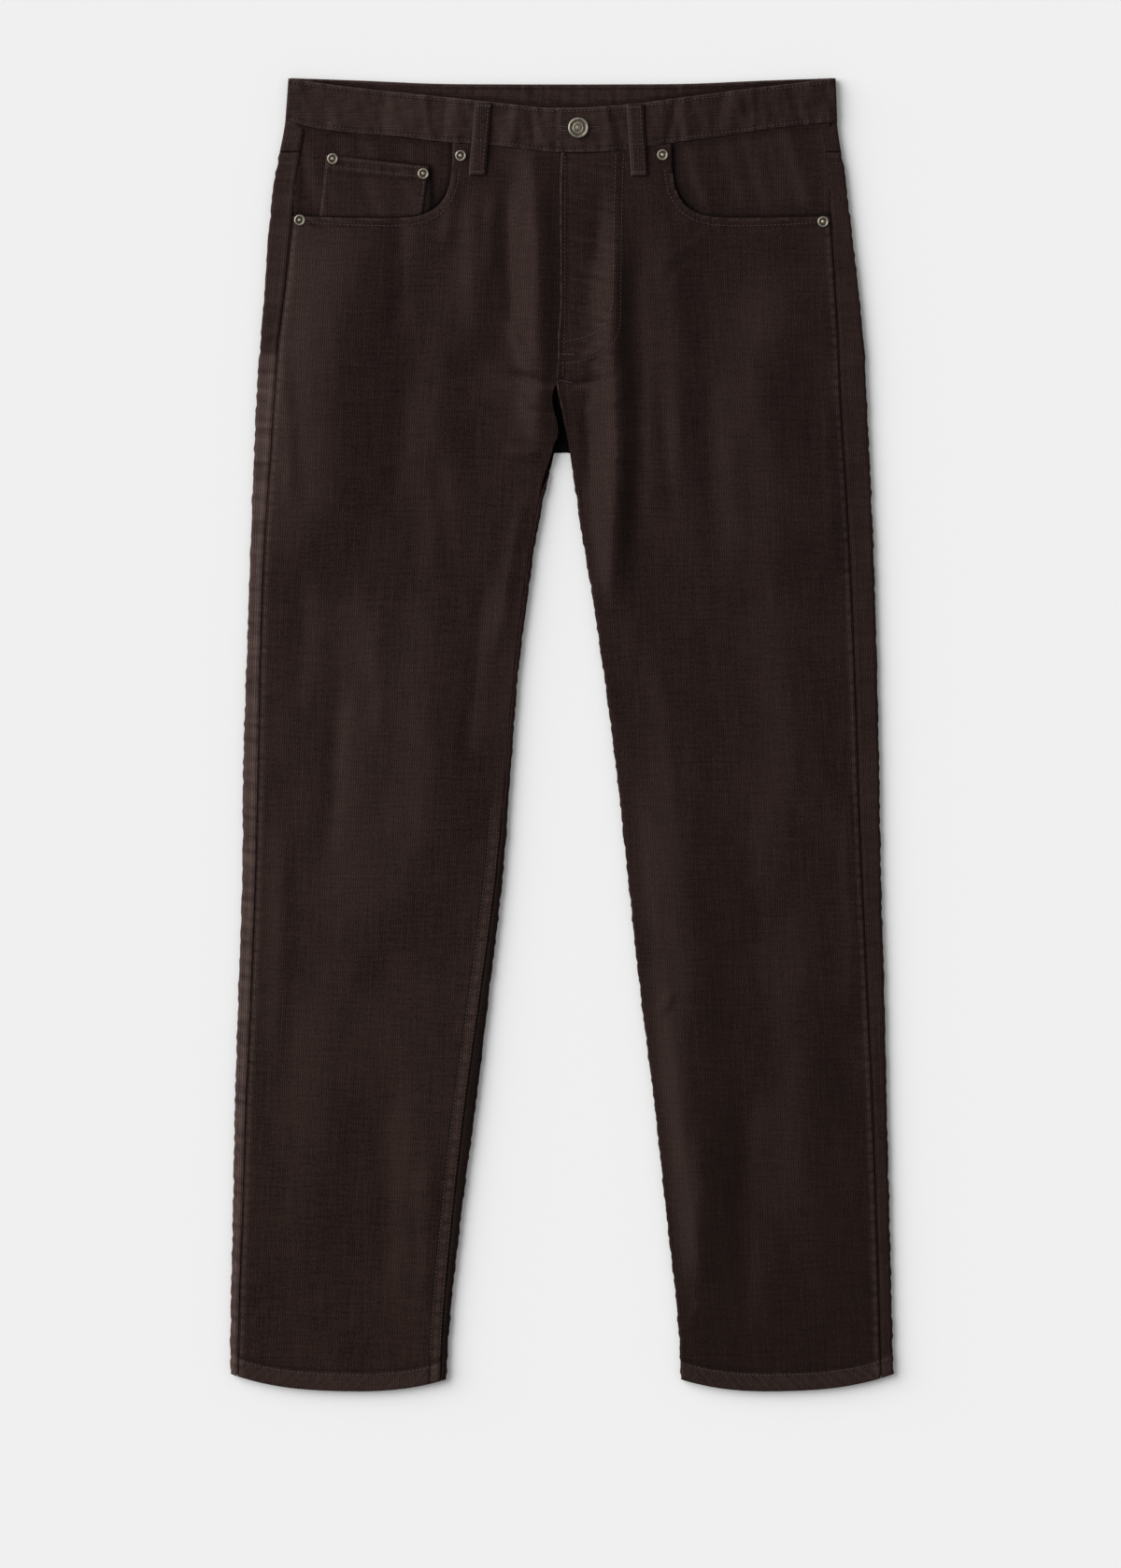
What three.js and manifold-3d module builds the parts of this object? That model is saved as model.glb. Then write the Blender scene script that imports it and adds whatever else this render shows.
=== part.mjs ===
// Dark brown five-pocket corduroy trousers, buttoned and laid flat with the front up.
// Sizes are in millimetres. +X is the right of the front view, +Y points to the waist, +Z is up.
// Right and left in the names are the wearer's, so the right leg lies at -X.
import * as THREE from "three";
import { mergeVertices } from "three/addons/utils/BufferGeometryUtils.js";
import Module from "manifold-3d";

const wasm = await Module();
wasm.setup();

// Cloth and levels
const cloth = 1.6;
const bandCloth = 2.4;
const trimCloth = 1.2;
const seamGap = 0.3;
const frontTop = 6.6;
const hipLift = trimCloth + seamGap;
const hipLiftStart = 250;
const hipLiftEnd = 285;

// Crotch, fly and hem
const crotch = 236;
const curlRun = 40;
const partRun = 25;
const freeEdge = 1.5;
const shortestTail = 0.3;
const underStrip = 4;
const flyHeight = 1.9;
const flyWidth = 44;
const flySlope = 9;
const flyBottom = 330;
const flyFade = 30;
const hemHeight = 16;
const hemExtra = 0.7;
const hemStep = 0.8;
const hemOuter = -533.5;
const hemInner = -538.5;
const frontHemSag = 12;
const backHemSag = 7;
const centreBackGap = seamGap / 2;

// Yoke: its lower seam is a shallow V, deepest at the centre back
const yokeSide = 486.7;
const yokeCentre = 445;
const yokeSideX = 215;

// Waistband
const bandEnd = -4.3;
const underlapEnd = 32;
const lapRise = bandCloth + seamGap;
const lapSlopeStart = 36;
const lapSlopeEnd = 51;
const backBandHeight = 37;

// Outer edge of each side and the width of the back that folds over it onto the front
const outerEdges = [
  { y: 549, right: 228.2, left: 228.2, rightStrip: 15, leftStrip: 12.5 },
  { y: 512, right: 231.3, left: 229.7, rightStrip: 16.5, leftStrip: 12.7 },
  { y: 466, right: 239.9, left: 236.7, rightStrip: 18.4, leftStrip: 14.8 },
  { y: 419, right: 245.3, left: 242.2, rightStrip: 19, leftStrip: 16.8 },
  { y: 372, right: 248.4, left: 247.7, rightStrip: 17.2, leftStrip: 19.2 },
  { y: 325, right: 252.3, left: 252.3, rightStrip: 15.3, leftStrip: 21 },
  { y: 278, right: 255.5, left: 254.7, rightStrip: 14.8, leftStrip: 21.6 },
  { y: 232, right: 257.4, left: 257, rightStrip: 13.8, leftStrip: 21.2 },
  { y: 161, right: 260.1, left: 260.1, rightStrip: 11.6, leftStrip: 20 },
  { y: 68, right: 263.3, left: 263, rightStrip: 11.4, leftStrip: 18.8 },
  { y: -26, right: 266.4, left: 265, rightStrip: 12.5, leftStrip: 17.6 },
  { y: -119, right: 267.2, left: 266.6, rightStrip: 11.2, leftStrip: 15.8 },
  { y: -213, right: 270.3, left: 269.3, rightStrip: 10.6, leftStrip: 14 },
  { y: -306, right: 273.2, left: 271.3, rightStrip: 9.4, leftStrip: 11.8 },
  { y: -400, right: 275, left: 273.6, rightStrip: 8, leftStrip: 10.8 },
  { y: -494, right: 277, left: 275.9, rightStrip: 6.8, leftStrip: 10.4 },
  { y: -550, right: 277.3, left: 277.3, rightStrip: 6, leftStrip: 10.6 },
];

// Inner edge of each leg, and the width of the right back that folds over it onto the front
const innerEdges = [
  { y: 236, right: 6.5, left: 6.6, rightStrip: 3.6 },
  { y: 208, right: 12.9, left: 10.5, rightStrip: 3.6 },
  { y: 161, right: 22.2, left: 17.6, rightStrip: 3.6 },
  { y: 115, right: 28.5, left: 25.4, rightStrip: 3.6 },
  { y: 68, right: 34.7, left: 32.4, rightStrip: 3.6 },
  { y: -26, right: 42.5, left: 44.9, rightStrip: 3.6 },
  { y: -119, right: 49.5, left: 55, rightStrip: 5 },
  { y: -213, right: 60.5, left: 65.1, rightStrip: 6.4 },
  { y: -306, right: 71.4, left: 76.8, rightStrip: 8.4 },
  { y: -400, right: 83.9, left: 87, rightStrip: 6.6 },
  { y: -494, right: 94, left: 97.1, rightStrip: 4.8 },
  { y: -550, right: 97.4, left: 100, rightStrip: 3.8 },
];

// Centre edges of the two fronts above the crotch, as distances to their own side
const centreEdges = [
  { y: 490, right: -8, left: -0.4 },
  { y: 462, right: -8, left: -1.6 },
  { y: 395, right: -8, left: -1.4 },
  { y: 346, right: -8, left: -2.2 },
  { y: 334, right: 3.7, left: -3.4 },
  { y: 310, right: 4.1, left: -3.7 },
  { y: 292, right: 5.6, left: -4.6 },
  { y: 280, right: 8.2, left: -0.8 },
  { y: 262, right: 6.6, left: 2.2 },
  { y: 250, right: 4.8, left: 4.2 },
  { y: 236, right: 8.2, left: 6.6 },
];

// Front half of the waistband, its top and bottom edges
const bandFront = [
  { x: -228, top: 548.3, bottom: 513 },
  { x: -214, top: 546.2, bottom: 508.6 },
  { x: -178, top: 541.3, bottom: 503 },
  { x: -139, top: 537, bottom: 500 },
  { x: -103, top: 533.4, bottom: 495.6 },
  { x: -60, top: 528.8, bottom: 492.6 },
  { x: -5, top: 523.6, bottom: 486.6 },
  { x: 54, top: 526.5, bottom: 488.6 },
  { x: 85, top: 530.4, bottom: 493.4 },
  { x: 134, top: 537, bottom: 500 },
  { x: 181, top: 542.9, bottom: 507 },
  { x: 228, top: 548.5, bottom: 512 },
];

// Top edge of the back half of the waistband, by distance from the centre back
const bandBack = [
  { x: 0, top: 543.7 },
  { x: 50, top: 543.8 },
  { x: 107, top: 544.3 },
  { x: 166, top: 546.8 },
  { x: 228, top: 549 },
];

// Largest folds of the fronts. Each runs from its top to its bottom point, negative heights are troughs.
const folds = [
  { topX: -36, topY: 478, bottomX: -26, bottomY: 250, width: 15, height: 2.4 },
  { topX: -66, topY: 452, bottomX: -60, bottomY: 300, width: 13, height: -0.9 },
  { topX: -92, topY: 425, bottomX: -106, bottomY: 60, width: 18, height: 1.4 },
  { topX: -200, topY: 418, bottomX: -206, bottomY: 250, width: 20, height: 1.5 },
  { topX: 51, topY: 445, bottomX: 53, bottomY: 220, width: 8, height: 2.2 },
  { topX: 62, topY: 448, bottomX: 60, bottomY: 130, width: 6, height: -1.6 },
  { topX: 77, topY: 440, bottomX: 82, bottomY: 150, width: 10, height: 1.9 },
  { topX: 130, topY: 410, bottomX: 148, bottomY: 40, width: 24, height: 1.3 },
  { topX: -150, topY: 190, bottomX: -172, bottomY: -240, width: 26, height: 1.2 },
  { topX: -84, topY: 120, bottomX: -118, bottomY: -210, width: 20, height: 1.3 },
  { topX: 96, topY: 110, bottomX: 128, bottomY: -220, width: 22, height: 1.4 },
  { topX: 190, topY: 170, bottomX: 200, bottomY: -200, width: 24, height: 1.1 },
  { topX: -196, topY: -190, bottomX: -204, bottomY: -470, width: 26, height: 1.2 },
  { topX: 176, topY: -160, bottomX: 196, bottomY: -460, width: 26, height: 1.3 },
];
const foldEdgeFade = 24;
const foldEndFade = 0.25;

// Pocket mouths, facings and coin pocket
const mouthTopX = 90.6;
const mouthStraightEnd = 473;
const mouthCornerX = 133;
const mouthLowY = 431.5;
const mouthSideY = 434.6;
const mouthBulgeX = 93.5;
const mouthBulgeY = 450;
const mouthTurnX = 102;
const mouthTurnY = 433;
const mouthDipX = 150;
const facingMargin = 12;
const facingCloth = 1.3;
const facingUnderSide = 3;
const coinTop = { innerX: -111.4, innerY: 474.6, outerX: -197, outerY: 484.4 };
const coinBottom = { innerX: -116.8, outerX: -202.4 };
const coinCloth = 1.4;

// Back pockets, by distance from the centre back
const backPocket = { innerX: 60, outerX: 196, narrowing: 6, top: 440, corner: 314, point: 294, tilt: 7 };

// Belt loops: distance of the middle from the centre line at the top and at the bottom
const loopWidth = 14;
const loopCloth = 1.6;
const frontLoops = [
  { name: "belt_loop_front_right", topX: -65.6, bottomX: -70.8, top: 528, bottom: 467.5 },
  { name: "belt_loop_front_left", topX: 60.7, bottomX: 64.6, top: 527, bottom: 467 },
];
const backLoops = [
  { name: "belt_loop_back_right", x: -150, top: 543.5, bottom: 484 },
  { name: "belt_loop_back_centre", x: 0, top: 541, bottom: 481 },
  { name: "belt_loop_back_left", x: 150, top: 543.5, bottom: 484 },
];

// Metal trim
const rivetRadius = 4.7;
const rivetHeight = 1.7;
const rivets = [
  { name: "rivet_coin_outer", x: -191.5, y: 481.2, level: 6.7 },
  { name: "rivet_coin_inner", x: -115.8, y: 468.8, level: 6.7 },
  { name: "rivet_right_inner", x: -84.6, y: 483.8, level: 6.9 },
  { name: "rivet_right_outer", x: -219, y: 430, level: 6.9 },
  { name: "rivet_left_inner", x: 84, y: 484.5, level: 6.9 },
  { name: "rivet_left_outer", x: 218, y: 428.6, level: 6.9 },
];
const button = { x: 13.6, y: 506.6, radius: 8.6, height: 3.4 };

// Grids
const curlSteps = 4;
const frontColumns = 15;
const backColumns = 9;
const roundSides = 14;
const rowLevels = [
  462, 438, 416, 392, 366, 346, 334, 320, 306, 292, 280, 262, 250, 242, 236, 231, 226, 220, 213, 205, 196,
  175, 145, 108, 66, 20, -28, -78, -128, -178, -228, -278, -328, -378, -428, -478,
];

// Small helpers
function mix(a, b, share) {
  return a + (b - a) * share;
}

function ease(share) {
  const held = Math.min(Math.max(share, 0), 1);
  return held * held * (3 - 2 * held);
}

// Smooth value of one column of a table, read at a place along another column.
function read(table, key, column, place) {
  const rows = table[0][key] > table[table.length - 1][key] ? [...table].reverse() : table;
  const last = rows.length - 1;
  const held = Math.min(Math.max(place, rows[0][key]), rows[last][key]);
  let i = 0;
  while (i < last - 1 && rows[i + 1][key] < held) i += 1;
  const slope = (k) => {
    const low = rows[Math.max(k - 1, 0)];
    const high = rows[Math.min(k + 1, last)];
    return (high[column] - low[column]) / (high[key] - low[key]);
  };
  const step = rows[i + 1][key] - rows[i][key];
  const s = (held - rows[i][key]) / step;
  const start = rows[i][column] * (2 * s ** 3 - 3 * s ** 2 + 1) + rows[i + 1][column] * (3 * s ** 2 - 2 * s ** 3);
  return start + step * (slope(i) * (s ** 3 - 2 * s ** 2 + s) + slope(i + 1) * (s ** 3 - s ** 2));
}

// A closed wall from rows of points. Each point has an outer and an inner face position.
function wall(rows) {
  const count = rows[0].length;
  const positions = [];
  for (const row of rows) for (const point of row) positions.push(...point.outer);
  for (const row of rows) for (const point of row) positions.push(...point.inner);
  const innerStart = rows.length * count;
  const index = [];
  const quad = (a, b, c, d) => index.push(a, b, c, a, c, d);
  for (let r = 0; r < rows.length - 1; r += 1) {
    for (let c = 0; c < count - 1; c += 1) {
      const a = r * count + c;
      quad(a, a + 1, a + count + 1, a + count);
      quad(innerStart + a, innerStart + a + count, innerStart + a + count + 1, innerStart + a + 1);
    }
    const first = r * count;
    const end = first + count - 1;
    quad(first, first + count, innerStart + first + count, innerStart + first);
    quad(end, innerStart + end, innerStart + end + count, end + count);
  }
  for (let c = 0; c < count - 1; c += 1) {
    const low = (rows.length - 1) * count + c;
    quad(c, innerStart + c, innerStart + c + 1, c + 1);
    quad(low, low + 1, innerStart + low + 1, innerStart + low);
  }
  const geometry = new THREE.BufferGeometry();
  geometry.setAttribute("position", new THREE.Float32BufferAttribute(positions, 3));
  geometry.setIndex(index);
  return faceOut(geometry);
}

// Turns a closed shape's faces outwards where its volume comes out negative.
function faceOut(geometry) {
  const p = geometry.attributes.position;
  const index = geometry.index.array;
  const corner = (k) => new THREE.Vector3().fromBufferAttribute(p, index[k]);
  let volume = 0;
  for (let k = 0; k < index.length; k += 3) {
    volume += corner(k).dot(corner(k + 1).cross(corner(k + 2)));
  }
  if (volume < 0) {
    for (let k = 0; k < index.length; k += 3) [index[k], index[k + 1]] = [index[k + 1], index[k]];
  }
  return geometry;
}

function toSolid(geometry) {
  const plain = geometry.clone();
  plain.deleteAttribute("normal");
  plain.deleteAttribute("uv");
  const merged = mergeVertices(plain, 1e-4);
  const mesh = new wasm.Mesh({
    numProp: 3,
    vertProperties: new Float32Array(merged.attributes.position.array),
    triVerts: new Uint32Array(merged.index.array),
  });
  return new wasm.Manifold(mesh);
}

function fromSolid(solid) {
  const mesh = solid.getMesh();
  const geometry = new THREE.BufferGeometry();
  geometry.setAttribute("position", new THREE.Float32BufferAttribute(mesh.vertProperties, 3));
  geometry.setIndex(Array.from(mesh.triVerts));
  return geometry;
}

// A flat shape with its underside at one level
function plate(shape, level, thickness, curveSegments = 8) {
  const geometry = new THREE.ExtrudeGeometry(shape, { depth: thickness, bevelEnabled: false, curveSegments });
  geometry.translate(0, 0, level);
  return geometry;
}

// Levels and edges of the body
function backLevel(y) {
  return hipLift * ease((y - hipLiftStart) / (hipLiftEnd - hipLiftStart));
}

function hemCurve(side, distance, sag) {
  const outer = read(outerEdges, "y", side.name, -550);
  const inner = read(innerEdges, "y", side.name, -550);
  const share = Math.min(Math.max((outer - distance) / (outer - inner), 0), 1);
  return mix(hemOuter, hemInner, share) - sag * (1 - Math.abs(2 * share - 1) ** 2.5);
}

function bandBottom(x) {
  return read(bandFront, "x", "bottom", x);
}

function yokeSeam(distance) {
  return mix(yokeCentre, yokeSide, Math.min(distance / yokeSideX, 1));
}

// Share of the way that an inner edge has curled round, from flat at the crotch to a full turn
function curlShare(y) {
  return ease((crotch - y) / curlRun);
}

function partShare(y) {
  return ease((crotch - y) / partRun);
}

function frontFold(x, y, side) {
  const outerGap = read(outerEdges, "y", side.name, y) - Math.abs(x);
  const innerGap = Math.abs(x) - read(innerEdges, "y", side.name, y);
  const innerFade = mix(1, ease(innerGap / foldEdgeFade), partShare(y));
  let height = 0;
  for (const fold of folds) {
    const share = (fold.topY - y) / (fold.topY - fold.bottomY);
    const ends = ease(share / foldEndFade) * ease((1 - share) / foldEndFade);
    const away = (x - mix(fold.topX, fold.bottomX, share)) / fold.width;
    height += fold.height * ends * Math.exp(-away * away);
  }
  return height * ease(outerGap / foldEdgeFade) * innerFade;
}

function flyRise(x, y) {
  const across = ease((flyWidth + flySlope - x) / flySlope);
  return flyHeight * across * ease((y - flyBottom + flyFade) / flyFade);
}

// One point on a path that runs straight, turns by an angle about a radius, then runs straight again.
// It gives how far the point is forward and up, and how far the path has turned there.
function curl(length, radius, angle) {
  const turn = Math.min(length / radius, angle);
  const rest = Math.max(length - radius * angle, 0);
  return {
    forward: radius * Math.sin(turn) + rest * Math.cos(angle),
    rise: radius * (1 - Math.cos(turn)) + rest * Math.sin(angle),
    turn,
  };
}

// Points of a curled edge. The start is where the flat ends, out is +1 or -1 along the distance,
// up is +1 where the edge curls upwards from the back and -1 where it curls down from the front.
function curledEdge({ start, level, out, up, radius, angle, tail, thickness }) {
  const roomLeft = angle < Math.PI ? (radius * (1 + Math.cos(angle))) / Math.sin(angle) : tail;
  const total = radius * angle + Math.max(Math.min(tail, roomLeft), shortestTail);
  const points = [];
  for (let step = 1; step <= curlSteps + 1; step += 1) {
    const length = step <= curlSteps ? (radius * angle * step) / curlSteps : total;
    const place = curl(length, radius, angle);
    const distance = start + out * place.forward;
    const z = level + up * place.rise;
    points.push({
      distance,
      z,
      innerDistance: distance - out * thickness * Math.sin(place.turn),
      innerZ: z + up * thickness * Math.cos(place.turn),
      frontShare: (place.turn / Math.PI) * up + (up < 0 ? 1 : 0),
    });
  }
  return points;
}

// Section across a back at one height, from its inner end to its side seam on the front
function backSection(side, y, thickness, top) {
  const level = backLevel(y);
  const radius = (top - level) / 2;
  const outer = read(outerEdges, "y", side.name, y);
  const strip = read(outerEdges, "y", side.strip, y);
  const points = [];
  let flatStart = innerOfBack(side, y);
  if (side.name === "right") {
    const share = curlShare(y);
    const angle = Math.max(Math.PI * share, 0.02);
    const tail = (read(innerEdges, "y", "rightStrip", y) - radius) * share ** 2 + freeEdge * (1 - share);
    const reach = angle < Math.PI / 2 ? curl(radius * angle + tail, radius, angle).forward : radius;
    flatStart += reach;
    const edge = curledEdge({ start: flatStart, level, out: -1, up: 1, radius, angle, tail, thickness });
    points.push(...edge.reverse());
  }
  const flatEnd = outer - radius;
  for (let c = 0; c <= backColumns; c += 1) {
    const distance = mix(flatStart, flatEnd, c / backColumns);
    points.push({ distance, z: level, innerDistance: distance, innerZ: level + thickness, frontShare: 0 });
  }
  const tail = strip - radius - centreBackGap;
  points.push(...curledEdge({ start: flatEnd, level, out: 1, up: 1, radius, angle: Math.PI, tail, thickness }));
  return points;
}

// Innermost reach of a back: the centre seam above the crotch, the inner leg edge below it
function innerOfBack(side, y) {
  if (y >= crotch) return centreBackGap;
  const edge = read(innerEdges, "y", side.name, y);
  if (side.name === "right") return edge;
  return edge + ((frontTop + hemExtra) / 2 + underStrip + seamGap) * partShare(y);
}

// Section across a front at one height, from its side seam to its inner end
function frontSection(side, y, thickness, top) {
  const radius = (top - backLevel(y)) / 2;
  const outer = read(outerEdges, "y", side.name, y) - read(outerEdges, "y", side.strip, y) - centreBackGap;
  const points = [];
  let flatEnd = y >= crotch ? read(centreEdges, "y", side.name, y) : read(innerEdges, "y", side.name, y);
  let edge = [];
  if (side.name === "right") {
    const strip = read(innerEdges, "y", "rightStrip", y) + seamGap;
    if (y < crotch) flatEnd += mix(1.7, strip, partShare(y));
  } else {
    const share = curlShare(y);
    const angle = Math.max(Math.PI * share, 0.02);
    const tail = underStrip * share ** 2 + freeEdge * (1 - share);
    const reach = angle < Math.PI / 2 ? curl(radius * angle + tail, radius, angle).forward : radius;
    flatEnd += reach;
    edge = curledEdge({ start: flatEnd, level: top, out: -1, up: -1, radius, angle, tail, thickness });
  }
  for (let c = 0; c <= frontColumns; c += 1) {
    const distance = mix(outer, flatEnd, c / frontColumns);
    points.push({ distance, z: top, innerDistance: distance, innerZ: top - thickness, frontShare: 1 });
  }
  return [...points, ...edge];
}

// Builds a panel between its top and bottom edges from sections at the row levels.
function panel({ side, section, topEdge, levels, lift }) {
  const bottomEdge = (distance, frontShare) => hemCurve(side, distance, mix(backHemSag, frontHemSag, frontShare));
  const innerTop = topEdge(0);
  const shares = levels.map((level) => (innerTop - level) / (innerTop - hemInner));
  const hemShare = 1 - hemHeight / (innerTop - hemInner);
  const stepShare = hemStep / (innerTop - hemInner);
  const cuts = [
    { share: 0, hem: false },
    ...shares.map((share) => ({ share, hem: false })),
    { share: hemShare - stepShare, hem: false },
    { share: hemShare, hem: true },
    { share: 1, hem: true },
  ];
  return wall(cuts.map((cut) => panelRow({ side, section, topEdge, bottomEdge, cut, lift })));
}

function panelRow({ side, section, topEdge, bottomEdge, cut, lift }) {
  const thickness = cut.hem ? cloth + hemExtra : cloth;
  const top = cut.hem ? frontTop + hemExtra : frontTop;
  const heightAt = (distance, frontShare) => mix(topEdge(distance), bottomEdge(distance, frontShare), cut.share);
  const count = section(side, 0, thickness, top).length;
  const row = [];
  for (let c = 0; c < count; c += 1) {
    let y = heightAt(120, 1);
    let point;
    for (let pass = 0; pass < 6; pass += 1) {
      point = section(side, y, thickness, top)[c];
      y = heightAt(point.distance, point.frontShare);
    }
    const x = side.sign * point.distance;
    const rise = lift(x, y) * (point.frontShare > 0.99 ? 1 : 0);
    row.push({
      outer: [x, y, point.z + rise],
      inner: [side.sign * point.innerDistance, y, point.innerZ + rise],
    });
  }
  return row;
}

const sides = [
  { name: "right", strip: "rightStrip", sign: -1 },
  { name: "left", strip: "leftStrip", sign: 1 },
];

// Outline of the pocket mouth, drawn for +X and mirrored for -X. A margin moves the edge outwards.
function mouthShape(sign, margin, outerX, topY) {
  const shape = new THREE.Shape();
  const x = (value) => sign * value;
  shape.moveTo(x(outerX), topY);
  shape.lineTo(x(mouthTopX - margin), topY);
  shape.lineTo(x(mouthTopX + 1.6 - margin), mouthStraightEnd);
  shape.bezierCurveTo(
    x(mouthBulgeX - margin),
    mouthBulgeY - margin / 2,
    x(mouthTurnX - margin / 2),
    mouthTurnY - margin,
    x(mouthCornerX),
    mouthLowY + 0.8 - margin,
  );
  shape.quadraticCurveTo(x(mouthDipX), mouthLowY - 1 - margin, x(outerX), mouthSideY - margin);
  shape.closePath();
  return shape;
}

function frontPanel(side) {
  const panelShape = panel({
    side,
    section: frontSection,
    topEdge: (distance) => bandBottom(side.sign * distance) - seamGap,
    levels: rowLevels,
    lift: (x, y) => frontFold(x, y, side) + (side.name === "left" ? flyRise(x, y) : 0),
  });
  const mouth = plate(mouthShape(side.sign, 0, 260, 530), 0, 20);
  return fromSolid(toSolid(panelShape).subtract(toSolid(mouth)));
}

function backPanel(side) {
  return panel({
    side,
    section: backSection,
    topEdge: (distance) => yokeSeam(distance) - seamGap,
    levels: rowLevels.filter((level) => level < 410),
    lift: () => 0,
  });
}

// Yoke: the same section as the back, between the waistband and the yoke seam
function yoke(side) {
  const rows = [];
  for (const share of [0, 0.5, 1]) {
    const row = [];
    const count = backSection(side, 500, cloth, frontTop).length;
    for (let c = 0; c < count; c += 1) {
      let y = 500;
      let point;
      for (let pass = 0; pass < 6; pass += 1) {
        point = backSection(side, y, cloth, frontTop)[c];
        const backTop = backBandBottom(point.distance);
        const topEdge = mix(backTop, bandBottom(side.sign * point.distance), point.frontShare) - seamGap;
        y = mix(topEdge, yokeSeam(point.distance), share);
      }
      row.push({
        outer: [side.sign * point.distance, y, point.z],
        inner: [side.sign * point.innerDistance, y, point.innerZ],
      });
    }
    rows.push(row);
  }
  return wall(rows);
}

function backBandTop(distance) {
  return read(bandBack, "x", "top", Math.abs(distance));
}

function backBandBottom(distance) {
  return backBandTop(distance) - backBandHeight;
}

// Waistband: stations run from the underlap end, round the back, to the overlapping end.
function waistband() {
  const radius = (frontTop + bandCloth - cloth - hipLift) / 2;
  const level = frontTop - cloth;
  const stations = [];
  const frontStation = (x, rise) => {
    const station = { x, z: level + bandCloth + rise, turnX: 0, turnZ: 1 };
    stations.push({ ...station, top: read(bandFront, "x", "top", x), bottom: bandBottom(x) });
  };
  const fold = (sign) => {
    const steps = 6;
    for (let step = 0; step <= steps; step += 1) {
      const share = sign < 0 ? step / steps : 1 - step / steps;
      const turn = Math.PI * share;
      const edgeX = 228.6;
      const frontTopY = read(bandFront, "x", "top", sign * 228);
      const frontBottomY = bandBottom(sign * 228);
      stations.push({
        x: sign * (edgeX - radius + radius * Math.sin(turn)),
        slant: sign * (sign < 0 ? 2.6 : 1.4),
        z: hipLift + radius + radius * Math.cos(turn),
        turnX: sign * Math.sin(turn),
        turnZ: Math.cos(turn),
        top: mix(frontTopY, backBandTop(228), share),
        bottom: mix(frontBottomY, backBandBottom(228), share),
      });
    }
  };
  for (const x of [underlapEnd, 10, -30, -60, -90, -120, -150, -180, -210]) frontStation(x, 0);
  fold(-1);
  for (const x of [-195, -150, -100, -50, 0, 50, 100, 150, 195]) {
    stations.push({ x, z: hipLift, turnX: 0, turnZ: -1, top: backBandTop(x), bottom: backBandBottom(x) });
  }
  fold(1);
  for (const x of [210, 180, 150, 120, 90, 66, lapSlopeEnd, 47, 43.5, 40, lapSlopeStart, 15, bandEnd]) {
    const share = (lapSlopeEnd - x) / (lapSlopeEnd - lapSlopeStart);
    frontStation(x, lapRise * ease(share));
  }
  const rows = stations.map((s) => {
    const slant = s.slant ?? 0;
    return [
      { share: 1, dz: 0 },
      { share: 0.5, dz: 0 },
      { share: 0, dz: 0 },
    ].map(({ share }) => {
      const x = s.x + slant * (1 - share);
      const y = mix(s.bottom, s.top, share);
      return {
        outer: [x, y, s.z],
        inner: [x - bandCloth * s.turnX, y, s.z - bandCloth * s.turnZ],
      };
    });
  });
  return wall(rows);
}

// Pocket facing: the flat cloth that shows in the mouth and runs on under its edge
function facing(side) {
  const strip = (y) => read(outerEdges, "y", side.name, y) - read(outerEdges, "y", side.strip, y);
  const outerX = strip(470) + facingUnderSide;
  const shape = mouthShape(side.sign, facingMargin, outerX, 530);
  const body = toSolid(plate(shape, frontTop - cloth - seamGap - facingCloth, facingCloth));
  const cover = new THREE.Shape();
  cover.moveTo(side.sign * 60, 560);
  cover.lineTo(side.sign * 250, 560);
  for (const distance of [250, 228, 200, 170, 140, 110, 85, 60]) {
    cover.lineTo(side.sign * distance, bandBottom(side.sign * distance) - seamGap);
  }
  cover.closePath();
  return fromSolid(body.subtract(toSolid(plate(cover, 0, 20))));
}

// Coin pocket: a small patch on the right facing, cut off along the mouth's edge
function coinPocket() {
  const shape = new THREE.Shape();
  shape.moveTo(coinTop.outerX, coinTop.outerY);
  shape.lineTo(coinTop.innerX, coinTop.innerY);
  shape.lineTo(coinBottom.innerX, mouthLowY - 8);
  shape.lineTo(coinBottom.outerX, mouthLowY - 8);
  shape.closePath();
  const level = frontTop - cloth;
  const patch = toSolid(plate(shape, level, coinCloth));
  const inside = toSolid(plate(mouthShape(-1, -0.5, 260, 530), 0, 20));
  return fromSolid(patch.intersect(inside));
}

function backPocketPatch(side) {
  const p = backPocket;
  const x = (value) => side.sign * value;
  const shape = new THREE.Shape();
  shape.moveTo(x(p.innerX), p.top - p.tilt);
  shape.lineTo(x(p.outerX), p.top);
  shape.lineTo(x(p.outerX - p.narrowing), p.corner + p.tilt);
  shape.lineTo(x((p.innerX + p.outerX) / 2), p.point);
  shape.lineTo(x(p.innerX + p.narrowing), p.corner - p.tilt / 2);
  shape.closePath();
  return plate(shape, 0, trimCloth);
}

// Front belt loop: a strip that stands a little proud of the band between its two sewn ends
function frontLoop(loop) {
  const profile = [
    { share: 0, under: 7.7, cloth: 2.2 },
    { share: 0.07, under: 7.7, cloth: 2.3 },
    { share: 0.16, under: 8.1, cloth: loopCloth },
    { share: 0.4, under: 8.7, cloth: loopCloth },
    { share: 0.62, under: 8.4, cloth: loopCloth },
    { share: 0.8, under: 7.7, cloth: loopCloth },
    { share: 0.92, under: 6.95, cloth: 2.3 },
    { share: 1, under: 6.95, cloth: 2.2 },
  ];
  const rows = profile.map((p) => {
    const middle = mix(loop.topX, loop.bottomX, p.share);
    const y = mix(loop.top, loop.bottom, p.share);
    return [-1, -0.6, 0.6, 1].map((across) => {
      const x = middle + (across * loopWidth) / 2;
      const soft = Math.abs(across) === 1 ? 0.35 : 0;
      return { outer: [x, y, p.under + p.cloth - soft], inner: [x, y, p.under] };
    });
  });
  return wall(rows);
}

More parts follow.
